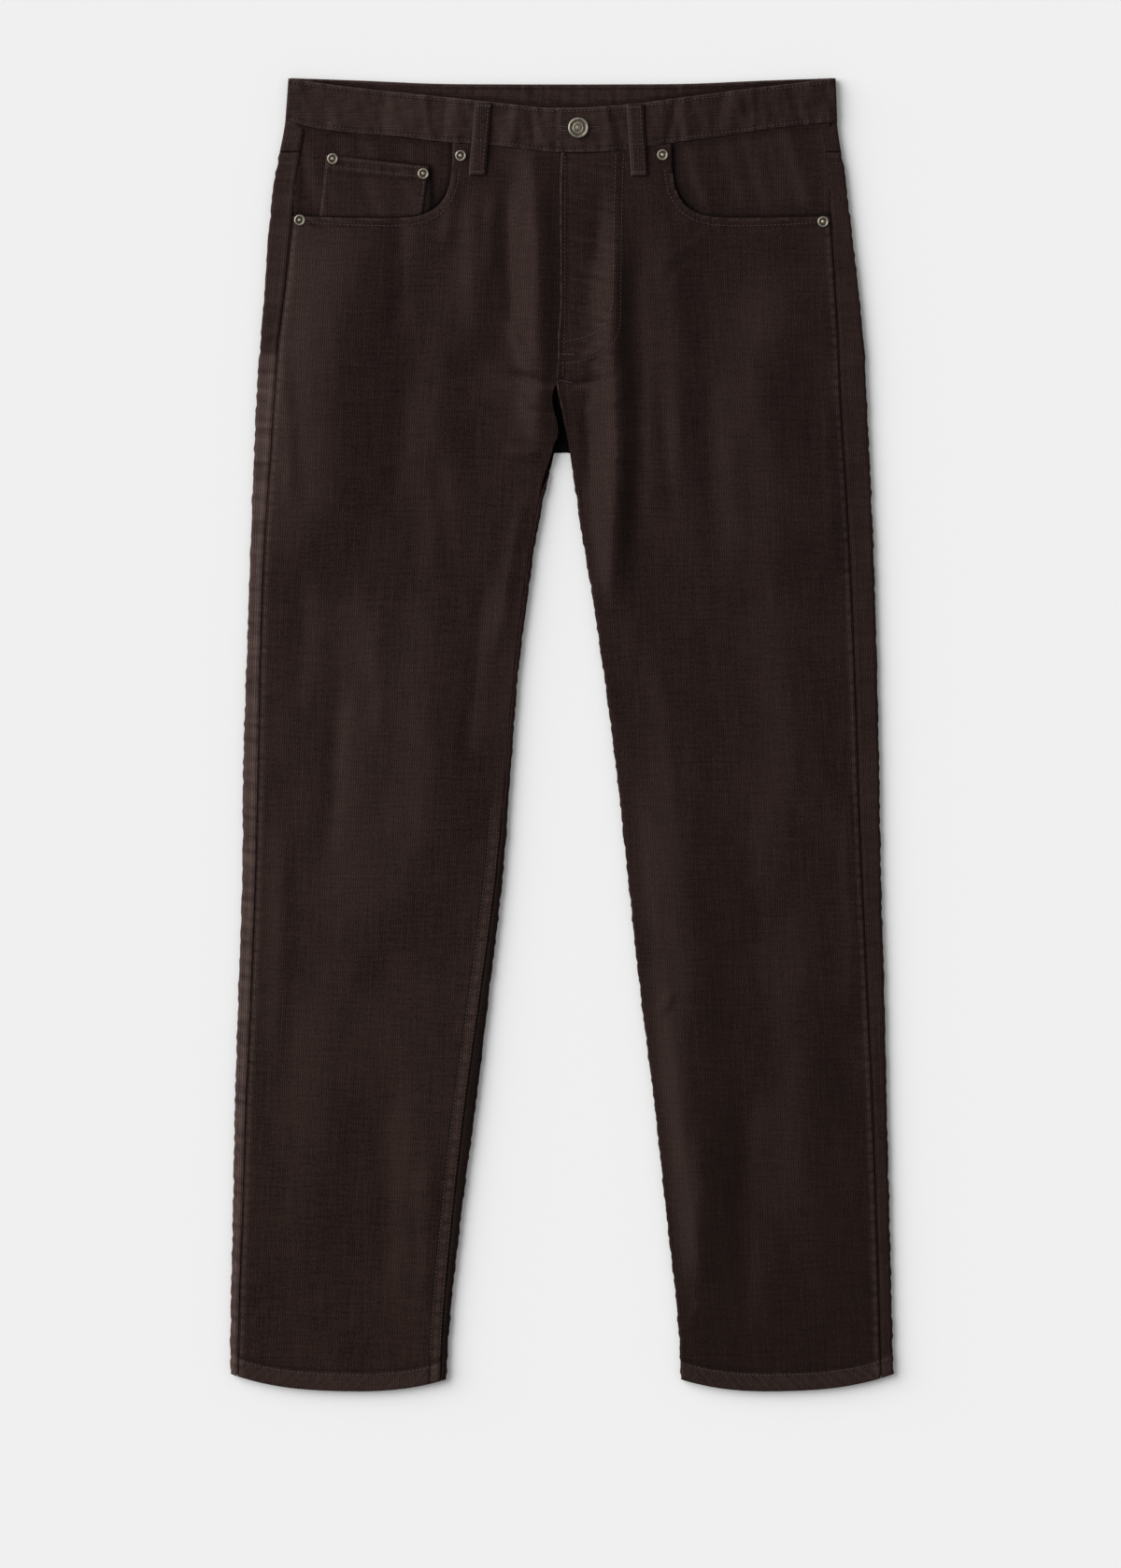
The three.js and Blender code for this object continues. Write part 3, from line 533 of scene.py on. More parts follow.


# Corduroy: wales run along the cloth map's second axis, with brushed streaks. The wearAndShading attribute
# makes the pile paler where it is worn and where a highlight is painted, and near black where shade is
# painted
def makeCorduroy():
    look = corduroyLook
    m = Nodes("corduroyDarkBrown")
    uv = m.tree.nodes.new("ShaderNodeUVMap")
    uv.uv_map = "clothMap"
    split = m.tree.nodes.new("ShaderNodeSeparateXYZ")
    m.join(uv.outputs[0], split.inputs[0])

    def clothNoise(acrossScale, alongScale, *detail):
        return m.noise(m.stretch(uv.outputs[0], (acrossScale, alongScale, 1)), 1.0, *detail)

    drift = clothNoise(0.02, 0.006, 2.0)
    wobble = clothNoise(0.25, 0.11, 2.0)
    across = m.add(split.outputs[0], m.times(drift, 1.6))
    across = m.add(across, m.times(wobble, 0.9))
    wave = m.math("SINE", m.times(across, 2 * math.pi / look["walePitch"]))
    wale = m.span(wave, -2.3, 0.8)
    streak = clothNoise(0.42, 0.022, 4.0, 0.65)
    tuft = clothNoise(0.9, 0.55, 3.0, 0.65)
    weft = clothNoise(0.035, 0.42, 3.0, 0.6)
    grain = clothNoise(0.50, 0.36, 2.0, 0.6)
    patch = clothNoise(0.020, 0.009, 4.0, 0.6)
    pileTone = m.times(m.span(streak, 0.32, 0.68), 0.34)
    toneParts = (tuft, 0.34, 0.50), (weft, 0.34, 0.32), (grain, 0.34, 0.36), (patch, 0.36, 0.30)
    for noise, low, share in toneParts:
        pileTone = m.add(pileTone, m.times(m.span(noise, low, 1 - low), share))
    wholePlace = m.tree.nodes.new("ShaderNodeTexCoord")
    wholeAxes = m.tree.nodes.new("ShaderNodeSeparateXYZ")
    m.join(wholePlace.outputs["Object"], wholeAxes.inputs[0])
    pileTone = m.add(pileTone, m.times(m.span(m.times(tuft, streak), 0.30, 0.46), 0.40))
    # Painted shade: darker towards +X, the side away from the light, and towards the hems
    paintedFalloff = m.math("SUBTRACT", 1.0, m.times(m.span(wholeAxes.outputs[0], -0.03, 0.12), look["paintedSideShade"]))
    lowSide = m.add(m.span(wholeAxes.outputs[0], -0.05, 0.08), 0.35)
    low = m.times(m.span(m.times(wholeAxes.outputs[1], -1.0), 0.05, 0.5), look["lowShade"])
    paintedFalloff = m.times(paintedFalloff, m.math("SUBTRACT", 1.0, m.times(low, lowSide)))
    shade = m.times(wale, m.times(m.add(pileTone, -0.30), paintedFalloff), clamp=True)
    pile = m.blend(m.span(m.times(wholeAxes.outputs[1], -1.0), -0.1, 0.4), look["pile"], look["lowPile"])
    cloth = m.blend(shade, look["groove"], pile)
    wearAndLight = m.tree.nodes.new("ShaderNodeAttribute")
    wearAndLight.attribute_name = "wearAndShading"
    # Positive values blend to the pale colour: wear and painted highlights
    wearAndLightValues = m.math("MAXIMUM", wearAndLight.outputs["Fac"], 0.0)
    wearAndHighlightFine = m.times(wearAndLightValues, m.add(m.times(tuft, 0.9), 0.25))
    wearAndHighlightFine = m.times(wearAndHighlightFine, m.add(m.times(wale, 0.65), 0.35), clamp=True)
    cloth = m.blend(wearAndHighlightFine, cloth, look["wearAndLight"])
    # Negative values blend to the painted shade colour
    paintedShadeAmount = m.times(wearAndLight.outputs["Fac"], -1.0, clamp=True)
    m.join(m.blend(paintedShadeAmount, cloth, look["paintedShadeColour"]), m.shader.inputs["Base Color"])
    m.shader.inputs["Roughness"].default_value = 0.92
    m.shader.inputs["Specular IOR Level"].default_value = 0.05
    m.shader.inputs["Sheen Weight"].default_value = 0.05
    m.shader.inputs["Sheen Roughness"].default_value = 0.5
    m.shader.inputs["Sheen Tint"].default_value = (0.75, 0.58, 0.52, 1)
    height = m.add(wale, m.times(tuft, 0.5))
    m.bump(height, look["waleDepth"])
    return m.material


def makeThread():
    m = Nodes("topstitchThread")
    coordinates = m.tree.nodes.new("ShaderNodeTexCoord")
    twist = m.noise(coordinates.outputs["Object"], 2600, 2.0)
    tone = m.noise(coordinates.outputs["Object"], 40, 2.0)
    colour = m.blend(m.span(tone, 0.3, 0.7), (0.022, 0.013, 0.011, 1), (0.046, 0.029, 0.025, 1))
    m.join(m.blend(twist, colour, (0.02, 0.012, 0.01, 1)), m.shader.inputs["Base Color"])
    m.shader.inputs["Roughness"].default_value = 0.55
    m.shader.inputs["Sheen Weight"].default_value = 0.1
    m.bump(twist, 0.0001)
    return m.material


def makeAntiqueMetal():
    m = Nodes("antiqueMetal")
    coordinates = m.tree.nodes.new("ShaderNodeTexCoord")
    stain = m.noise(coordinates.outputs["Object"], 420, 4.0, 0.6)
    scratch = m.noise(m.stretch(coordinates.outputs["Object"], (900, 2600, 900)), 1.0, 2.0)
    wearAndLight = m.tree.nodes.new("ShaderNodeAttribute")
    wearAndLight.attribute_name = "wearAndShading"
    dark = m.blend(m.span(stain, 0.35, 0.65), (0.020, 0.017, 0.013, 1), (0.085, 0.072, 0.054, 1))
    bright = m.blend(m.span(stain, 0.3, 0.7), (0.16, 0.14, 0.105, 1), (0.40, 0.365, 0.29, 1))
    m.join(m.blend(wearAndLight.outputs["Fac"], dark, bright), m.shader.inputs["Base Color"])
    m.shader.inputs["Metallic"].default_value = 0.85
    m.join(m.add(m.times(scratch, 0.3), 0.28), m.shader.inputs["Roughness"])
    m.bump(stain, 0.00012, 0.6)
    return m.material


corduroy = makeCorduroy()
thread = makeThread()
antiqueMetal = makeAntiqueMetal()

print("stage: legs")

hemRows = 11


# Columns stand closer together near both ends, where the seams are
def closerEnds(columns, edgeShare, edgeColumns):
    middle = np.linspace(edgeShare, 1 - edgeShare, columns + 1 - 2 * edgeColumns)
    start = np.linspace(0, edgeShare, edgeColumns + 1)[:-1]
    return np.concatenate([start, middle, 1 - start[::-1]])


# Two rows of the backs lie just above and just below the crotch
seatTop = yokeSeam["centre"] - level["gap"]
crotchShares = (seatTop - level["crotch"]) / (seatTop - hem["inner"]) + np.array([-0.00004, 0.00004])


def shareRows(legRows):
    hemShare = 1 - hem["height"] / 1025
    upper = np.sort(np.append(np.linspace(0, hemShare, legRows), crotchShares))
    return np.concatenate([upper, np.linspace(hemShare + 0.0006, 1, hemRows)]), hemShare


# Solves a panel's places: rows blend from its top edge to its hem
def panelGrid(side, section, topEdge, legRows, columnShares):
    shares, hemShare = shareRows(legRows)
    t = shares[:, None] * np.ones((1, len(columnShares)))
    u = np.ones((len(shares), 1)) * columnShares[None, :]
    inHem = t > hemShare
    top = np.where(inHem, level["frontTop"] + hem["extra"], level["frontTop"])
    y = mix(490.0, -540.0, t)
    for _ in range(6):
        distance, z, frontShare, across = section(side, y, u, top)
        y = mix(topEdge(distance), hemCurve(side, distance, frontShare), t)
    return distance, y, z, frontShare, across, inHem, t


def hemPucker(along, t, inHem, seed):
    hemDepth = (t - t[inHem].min()) / (1 - t[inHem].min())
    slanted = along + hemDepth * 7
    wave = unevenWave(slanted, 11, seed)
    return np.where(inHem, 0.22 * wave * np.sin(math.pi * np.clip(hemDepth, 0, 1)) - 0.5 * hemDepth**10, 0)


frontCloth = {
    "rows": 400, "columns": 112, "edgeShare": 0.085, "edgeColumns": 22, "thickness": 1.2,
    "foldFade": 24, "lowFade": 0.6, "riseShade": 0.7, "palest": 0.17, "darkest": -0.42,  # folds and shading
    "seamPitch": 8.5, "seamPucker": 0.55, "seamReach": 10, "seamDepth": 0.9, "seamRub": 0.24,  # side seam
    "mouthPitch": 8, "mouthPucker": 0.28, "mouthHem": 9, "mouthRise": 0.35, "mouthEdgeHighlight": 0.30,  # pocket mouth
    "hemWearAndHighlight": 0.16, "hemPitch": 7, "mapLean": 0.045,
}
flyCloth = {"pitch": 8.5, "pucker": 0.5, "tone": 0.13, "edgeWearAndHighlight": 0.46, "edgeRoll": 0.7, "stitchDepth": 0.35}
fellCloth = {"start": -20, "run": 110, "pitch": 9.5, "width": 11.5, "rise": 0.45, "pucker": 0.30}


# The flat-felled seam along the right leg's inner edge: its height, and its wear with painted shade in the
# stitch groove and along the folded edge
def innerFell(distance, y):
    f = fellCloth
    fromInner = distance - readInner(1, y) - readInner(3, y)
    ripple = unevenWave(y, f["pitch"], 5.0)
    edge = bell(np.maximum(fromInner, 0), 1.3)
    lift = f["rise"] * ease((f["width"] - fromInner) / 2) - 0.5 * bell(fromInner - 10, 0.9)
    lift += f["pucker"] * ripple * bell(fromInner, 12) - 0.6 * edge
    wearAndShading = 0.22 * bell(fromInner - 6, 2.5) * (1 + ripple) - 0.55 * bell(fromInner - 10.3, 0.9) - 0.9 * edge
    on = ease((f["start"] - y) / f["run"])
    return lift * on, wearAndShading * on


# The left front's fly: its height, and its tone: painted light and shade on the puckers, and a paler rolled
# edge, worn and with a painted highlight
def flyShape(x, y, distance):
    f = flyCloth
    onFly = ease((50 - x) / 6) * ease((y - 290) / 20)
    pucker = onFly * unevenWave(y + 0.25 * x, f["pitch"], 3.3) * (0.6 + 0.5 * unevenWave(x - y, 31, 1.0))
    lift = flyRise(x, y) + f["pucker"] * pucker
    lift -= f["stitchDepth"] * bell(farFrom(x, y, flyLine(48.8)), 1.0)
    lift -= 0.30 * bell(farFrom(x, y, flyLine(42.5)), 1.0)
    fromFly = distance - readCentre(2, y)
    onEdge = ease((y - 245) / 40)
    roll = (f["edgeRoll"] + 0.4 * unevenWave(y, 23, 4.0)) * bell(fromFly - 1.6, 1.3)
    lift += onEdge * (roll - 0.5 * bell(fromFly - 5.5, 1.5))
    wearAndShading = f["tone"] * pucker + onEdge * (f["edgeWearAndHighlight"] + 0.3 * unevenWave(y, 14, 1.5)) * bell(fromFly, 1.1)
    return lift, wearAndShading


def makeFront(side):
    sign = side["sign"]
    f = frontCloth
    onRight = side["name"] == "right"

    def topEdge(distance):
        return bandBottom(sign * distance) - level["gap"]

    columns = closerEnds(f["columns"], f["edgeShare"], f["edgeColumns"])
    distance, y, z, frontShare, _, inHem, t = panelGrid(side, frontSection, topEdge, f["rows"], columns)
    distance = distance + edgeWander(y, frontShare, 1.0)
    x = sign * distance
    part = ease((level["crotch"] - y) / level["partRun"])
    innerFade = mix(1, ease((distance - readInner(side["column"], y)) / f["foldFade"]), part)
    outerFade = ease((readOuter(side["column"], y) - distance) / f["foldFade"])
    lift = (foldHeight(x, y, frontFolds) + dragHeight(x, y)) * outerFade * innerFade
    # Fold slopes become painted light below: flanks facing the light at the upper left are painted paler, the
    # others darker
    slope = np.gradient(lift, axis=1) / np.minimum(np.gradient(x, axis=1) * sign, -1e-6) * sign
    slope *= mix(1, f["lowFade"], ease((60 - y) / 200))
    slope -= f["riseShade"] * np.gradient(lift, axis=0) / np.minimum(np.gradient(y, axis=0), -1e-6)
    seamGap = readOuter(side["column"], y) - readOuter(side["strip"], y) - distance
    pucker = unevenWave(y, f["seamPitch"], 1.0 + sign)
    lift += f["seamPucker"] * pucker * bell(seamGap, f["seamReach"]) - f["seamDepth"] * bell(seamGap, 1.8)
    toMouth = farFrom(x, y, mouthEdge(sign, 0, 250))
    mouthPucker = unevenWave(x + y, f["mouthPitch"], 2.0) * bell(toMouth, 8)
    lift += f["mouthRise"] * ease((f["mouthHem"] - toMouth) / 2.5) + f["mouthPucker"] * mouthPucker
    lift -= 0.30 * bell(toMouth - 6.5, 0.9)
    seamLift, seamWearAndShade = innerFell(distance, y) if onRight else flyShape(x, y, distance)
    z += np.where(frontShare > 0.99, lift + seamLift + hemPucker(distance, t, inHem, sign), 0)

    hemTop = y - hemCurve(side, distance, 1.0) - hem["height"]
    # The front's tone: paler wear along the side seam, a paler hem band, worn and with a painted highlight, a
    # painted highlight on the pocket mouth's edge, painted shade in the side seam, along the mouth's
    # stitching and under the hem's top edge, and painted light and shade on the puckers and from the fold
    # slopes
    wearAndShading = f["seamRub"] * bell(seamGap - 3, 2.4) * (1 + 0.8 * pucker)
    wearAndShading += f["mouthEdgeHighlight"] * ease((2.2 - toMouth) / 2) - 0.3 * bell(toMouth - 6.8, 0.8)
    wearAndShading -= (0.5 if onRight else 0.3) * (1 + 0.5 * pucker) * bell(seamGap, 1.4)
    hemWear = f["hemWearAndHighlight"] + 0.12 * unevenWave(distance + hemTop, f["hemPitch"], 4.0)
    wearAndShading += 0.10 * mouthPucker + np.where(inHem, hemWear, 0) - 0.45 * bell(hemTop - 0.8, 1.4) + seamWearAndShade
    if onRight:
        wearAndShading += 0.035 * ease((150 - y) / 150) * ease((y + 420) / 150)  # a paler knee
    wearAndShading += 0.09 * bell(x + 222, 12) * ease((y - 150) / 100)  # painted highlight beside the right side seam, where the front turns to the light
    shade = np.clip(slope * corduroyLook["slopeShade"], f["darkest"], f["palest"])
    wearAndShading += np.where(frontShare > 0.99, shade, 0)
    piece, area = clothPiece(f"{side['name']}FrontCloth", x, y, z, x + f["mapLean"] * sign * y, y,
                             np.clip(wearAndShading, -1, 1), f["thickness"], "up")
    settle(piece)
    cutMouth(piece, sign)
    return finishCloth((piece, area), f"front_{side['name']}", (0.29, 1.05), f"back_{side['name']}",
                       areaShare=0.96)


def flyLine(reach):
    photoRow = 389 if reach > 45 else 366
    bottomY = (photo["centreY"] - photoRow) * photo["mmPerPixel"]
    turnY = bottomY + 36
    curve = bezier((reach, turnY), (reach - 1, bottomY + 10), (reach * 0.55, bottomY + 1), (-3, bottomY), 10)
    return [(reach + 2.5, 486), (reach + 1, 430)] + curve


# Cuts the pocket mouth out of a front
def cutMouth(piece, sign):
    bm = bmesh.new()
    outline = mouthEdge(sign, 0, 262) + [(sign * 262, 540), (sign * mouth["topX"], 540)]
    corners = [bm.verts.new((*place(x, y, 0)[:2], -0.002)) for x, y in outline]
    bottom = bm.faces.new(corners)
    grown = bmesh.ops.extrude_face_region(bm, geom=[bottom])
    upper = [v for v in grown["geom"] if isinstance(v, bmesh.types.BMVert)]
    bmesh.ops.translate(bm, verts=upper, vec=(0, 0, 0.03))
    bmesh.ops.recalc_face_normals(bm, faces=bm.faces)
    cutter = addPiece("mouthCutter", bm)
    cut = piece.modifiers.new("mouth", "BOOLEAN")
    cut.operation = "DIFFERENCE"
    cut.solver = "EXACT"
    cut.object = cutter
    bpy.context.view_layer.update()
    settle(piece)
    mesh = cutter.data
    bpy.data.objects.remove(cutter)
    bpy.data.meshes.remove(mesh)


backCloth = {
    "rows": 250, "thickness": 1.2, "stripPitch": 8.5, "stripPucker": 0.5, "stripRise": 0.25, "stripHighlight": 0.62,
    "stripLightLow": 324, "topHighlight": 0.22, "leftStripLight": 0.05, "seatLow": 215, "seatHigh": 310,
}


def makeBack(side):
    sign = side["sign"]
    b = backCloth
    onRight = side["name"] == "right"

    def topEdge(distance):
        return yokeLine(distance) - level["gap"]

    inner = np.linspace(0, 0.07, 9)[:-1]
    columns = np.concatenate([inner, np.linspace(0.07, 0.86, 42)[:-1], np.linspace(0.86, 1, 35)])
    distance, y, z, frontShare, across, inHem, t = panelGrid(side, backSection, topEdge, b["rows"], columns)
    distance = distance + edgeWander(y, frontShare, 5.0 + sign)
    seamGap = distance - (readOuter(side["column"], y) - readOuter(side["strip"], y))
    outside = distance > 150
    onStrip = (frontShare > 0.98) & outside
    pucker = unevenWave(y, b["stripPitch"], 1.0 + sign)
    lift = b["stripPucker"] * pucker * bell(seamGap, 9) - 0.8 * bell(seamGap, 1.7)
    lift += b["stripRise"] * ease((6 - seamGap) / 3) + 0.15 * unevenWave(y, 17, 3.0)
    z = z + np.where(onStrip, lift, 0)
    z += np.where(frontShare > 0.9, hemPucker(distance, t, inHem, 2 + sign), 0)
    # The right leg's outer strip is painted paler, a painted highlight where it turns to the light; painted
    # shade on the seam lines, the inner strip and the inside of the seat
    rubAndLight = b["stripHighlight"] * mix(b["topHighlight"], 1, ease((b["stripLightLow"] - y) / 16)) if onRight else b["leftStripLight"]
    turned = np.clip(frontShare, 0, 1) * outside
    wearAndShading = rubAndLight * turned * (1 + 0.45 * unevenWave(y, 9.5, 6.0) + 0.3 * unevenWave(y, 43, 2.0))
    wearAndShading += 0.5 * rubAndLight * onStrip * bell(seamGap, 5) * (1 + pucker) + np.where(inHem, 0.15, 0)
    wearAndShading -= 0.5 * ease((-20 - y) / 110) * (frontShare > 0.6) * ~outside  # painted shade on the inner strip, which turns away from the light
    wearAndShading -= (0.4 if onRight else 0.25) * onStrip * (1 + 0.5 * pucker) * bell(seamGap, 1.4)
    inSeat = ease((y - b["seatLow"]) / 15) * ease((b["seatHigh"] - y) / 14)
    wearAndShading -= inSeat * ease((26 - distance) / 8) * (frontShare < 0.5)
    piece, area = clothPiece(f"{side['name']}BackCloth", sign * distance, y, z,
                             sign * (across - readOuter(side["column"], y)), y, np.clip(wearAndShading, -1, 1),
                             b["thickness"], "down")
    settle(piece)
    wearAndLightValues = piece.data.attributes["wearAndShading"].data
    for k, vert in enumerate(piece.data.vertices):
        seatY = vert.co.y / mm - frameShift[1]
        if 180 < seatY < 360 and abs(vert.co.x) < 0.045 and vert.co.z / mm < float(backLevel(seatY)) + 0.5:
            wearAndLightValues[k].value = 0  # the seat's painted shade stays on the inside only
    return finishCloth((piece, area), f"back_{side['name']}", (0.31, 1.05), f"back_pocket_{side['name']}")


yokeCloth = {"rows": 24, "columns": 96, "thickness": 1.2,
             "stripPitch": 8.5, "rightStripLight": 0.16, "leftStripLight": 0.04}


def makeYoke(side):
    sign = side["sign"]
    k = yokeCloth
    t, u = evenShares(k["rows"], k["columns"])
    y = np.full_like(t, 495.0)
    for _ in range(6):
        distance, z, frontShare, across = backSection(side, y, u, level["frontTop"])
        upper = mix(backBandBottom(distance), bandBottom(sign * distance), frontShare) - level["gap"]
        y = mix(upper, yokeLine(distance), t)
    seamGap = distance - (readOuter(side["column"], y) - readOuter(side["strip"], y))
    onStrip = (frontShare > 0.98) & (distance > 150)
    pucker = unevenWave(y, k["stripPitch"], 1.0 + sign)
    soft = 0.5 * pucker * bell(seamGap, 9) - 0.65 * bell(seamGap, 1.5)
    z = z + np.where(onStrip, soft - 0.3 * ease((t - 0.8) / 0.2), 0)
    # The right yoke's strip gets a painted highlight; painted shade along the side seam and along the yoke
    # seam where it is turned over
    rubAndLight = k["rightStripLight"] if side["name"] == "right" else k["leftStripLight"]
    wearAndShading = rubAndLight * (1 + 0.5 * pucker) * np.clip(frontShare, 0, 1) - 0.3 * onStrip * bell(seamGap, 1.5)
    wearAndShading -= 0.9 * (frontShare > 0.5) * ease((t - 0.93) / 0.07)
    across = sign * (across - readOuter(side["column"], y))
    made = clothPiece(f"{side['name']}YokeCloth", sign * distance, y, z, across, y, np.clip(wearAndShading, -1, 1),
                      k["thickness"], "down")
    return finishCloth(made, f"yoke_{side['name']}", (0.26, 0.075), f"pocket_facing_{side['name']}")


fronts = [makeFront(side) for side in sides]
backs = [makeBack(side) for side in sides]
yokes = [makeYoke(side) for side in sides]

print("stage: waistband")


bandCloth = {
    "edgeX": 228.6, "lapRise": 2.7, "lapStart": 36, "lapEnd": 51, "end": -4.3, "underlap": 32,
    "thickness": 2.2, "rows": 30,
    "underlapColumns": 100, "backColumns": 130, "frontColumns": 110, "foldColumns": 14,
    "pitch": 9.5, "pucker": 0.5, "rubAndLight": 0.13, "edgeWearAndHighlight": 0.30, "rightShade": 0.48, "innerShadow": 0.42,
}
# Creases across the band's front: x, lean, width, height
bandCreases = [
    (-112, -6, 3, 0.8), (-98, 4, 3, -0.7), (-40, 5, 4, 0.7), (-24, -4, 3, -0.7), (92, 6, 3, -0.6),
    (40, -5, 3, 0.4), (104, -4, 5, 0.5), (-188, 5, 5, 0.5), (160, -5, 4, 0.5), (-150, 7, 6, -0.8),
    (-76, 4, 6, -0.7), (132, 5, 6, -0.7), (196, -5, 5, -0.6),
]
bandTopLevel = level["frontTop"] + level["band"] - level["cloth"]
bandRadius = (bandTopLevel - level["hipLift"]) / 2


# Stations along the band: x, slant, height, top and bottom, from the underlap end over the right front,
# the back and the left front to the overlapping end
def bandStations():
    b = bandCloth
    stations = []

    def frontStation(x, rise):
        stations.append((x, 0, bandTopLevel + rise, readBandFront(1, x), bandBottom(x)))

    def fold(sign):
        for step in range(b["foldColumns"] + 1):
            share = step / b["foldColumns"] if sign < 0 else 1 - step / b["foldColumns"]
            turn = math.pi * share
            slant = 2.6 if sign < 0 else 1.4
            stations.append((
                sign * (b["edgeX"] - bandRadius + bandRadius * math.sin(turn)), sign * slant,
                level["hipLift"] + bandRadius + bandRadius * math.cos(turn),
                mix(readBandFront(1, sign * 228), readBandBack(1, 228), share),
                mix(bandBottom(sign * 228), backBandBottom(228), share)))

    for x in np.linspace(b["underlap"], -224, b["underlapColumns"]):
        frontStation(x, 0)
    fold(-1)
    for x in np.linspace(-223, 223, b["backColumns"]):
        stations.append((x, 0, level["hipLift"], readBandBack(1, abs(x)), backBandBottom(x)))
    fold(1)
    for x in np.linspace(224, b["end"], b["frontColumns"]):
        frontStation(x, b["lapRise"] * ease((b["lapEnd"] - x) / (b["lapEnd"] - b["lapStart"])))
    return np.array([[float(v) for v in row] for row in stations])


def makeBand():
    b = bandCloth
    s = bandStations()
    lineX, slant, lineZ, top, bottom = (s[:, k:k + 1] for k in range(5))
    v = np.linspace(0, 1, b["rows"] + 1)[None, :] * np.ones((len(s), 1))
    x = lineX + slant * (1 - v)
    y = mix(bottom, top, v)
    step = np.hypot(np.diff(s[:, 0]), np.diff(s[:, 2]))
    run = np.concatenate([[0], np.cumsum(step)])[:, None] + 0 * v
    fromEdge = np.minimum(v, 1 - v) * (top - bottom)
    fromMiddle = lineZ - (level["hipLift"] + bandRadius)
    onInside = np.sign(fromMiddle) < 0
    flatness = np.clip(np.abs(fromMiddle) / bandRadius, 0, 1)
    onFront = (fromMiddle > 0) * flatness
    strength = 0.65 + 0.45 * unevenWave(run, 61, 1.0)
    edgePucker = unevenWave(run, b["pitch"], 2.0) * bell(fromEdge, 9) * strength
    soft = b["pucker"] * edgePucker - 0.8 * bell(fromEdge, 1.1) - 0.35 * bell(fromEdge - 3.2, 0.8)
    soft += 0.4 * unevenWave(run + 0.5 * y, 47, 7.0) + 0.16 * unevenWave(run - 0.4 * y, 17, 4.0)
    for creaseX, lean, width, height in bandCreases:
        soft += height * bell(x - creaseX - lean * (v - 0.5), width)
    z = lineZ + onFront * soft
    # The band's tone: paler, worn edges that also carry a painted highlight; painted shade in the stitch
    # grooves, towards the wearer's left end of the front half and on the inside under the front's top edge;
    # painted light and shade on the puckers and creases; a painted highlight on the turn at the wearer's
    # right end
    wearAndShading = b["rubAndLight"] + b["edgeWearAndHighlight"] * bell(fromEdge, 1.6) * (1 + 0.7 * unevenWave(run, 9, 3.0))
    wearAndShading += 0.05 * unevenWave(run + 3 * y, 31, 2.0) - 0.22 * bell(fromEdge - 3.4, 0.8)
    wearAndShading = np.where(fromMiddle > 0, wearAndShading * (1 - b["rightShade"] * ease((x + 20) / 160)), wearAndShading - 0.02)
    slope = -np.gradient(soft, axis=0) / np.maximum(np.gradient(run, axis=0), 1e-6)
    wearAndShading += 0.09 * edgePucker + onFront * np.clip(0.74 * slope, -0.32, 0.14)
    shadow = onInside * flatness * bell(np.maximum(y - readBandFront(1, x), 0), 3.2)
    wearAndShading -= b["innerShadow"] * shadow * ease((222 - np.abs(x)) / 30)
    wearAndShading += 0.10 * onInside * unevenWave(run, 12, 6.0) + 0.2 * (1 - flatness) * (x < 0)
    piece, area = clothPiece("waistbandCloth", x, y, z, y, run, np.clip(wearAndShading, -1, 1), b["thickness"], "up")
    settle(piece)
    wearAndLightValues = piece.data.attributes["wearAndShading"].data
    for k, vert in enumerate(piece.data.vertices):
        if vert.co.z / mm < level["hipLift"] + 1 and wearAndLightValues[k].value < 0.05:
            wearAndLightValues[k].value = 0.05  # the shadow of the front band falls on the inside only
    turnBandOut(piece)
    return finishCloth((piece, area), "waistband", (1.0, 0.04), "yoke_right", "yoke_left")


# The band turns right round, so its faces are turned out by its own middle level
def turnBandOut(piece):
    bm = bmesh.new()
    bm.from_mesh(piece.data)
    bm.normal_update()
    middle = level["hipLift"] + (level["frontTop"] + 0.8 - level["hipLift"]) / 2
    out = sum(f.normal.z * (f.calc_center_median().z / mm - middle) * f.calc_area() for f in bm.faces)
    if out < 0:
        bmesh.ops.reverse_faces(bm, faces=bm.faces)
    bm.to_mesh(piece.data)
    bm.free()


band = makeBand()

print("stage: pockets and loops")


facingCloth = {
    "rows": 40, "columns": 60, "thickness": 1.1, "mouthTop": 520, "mouthLow": 431, "under": 12, "side": 3,
    "drop": 0.3, "bandRise": 1.7, "sideRise": 1.3, "shadow": 0.6, "wideShadow": 0.24, "bandShadow": 0.45,
}


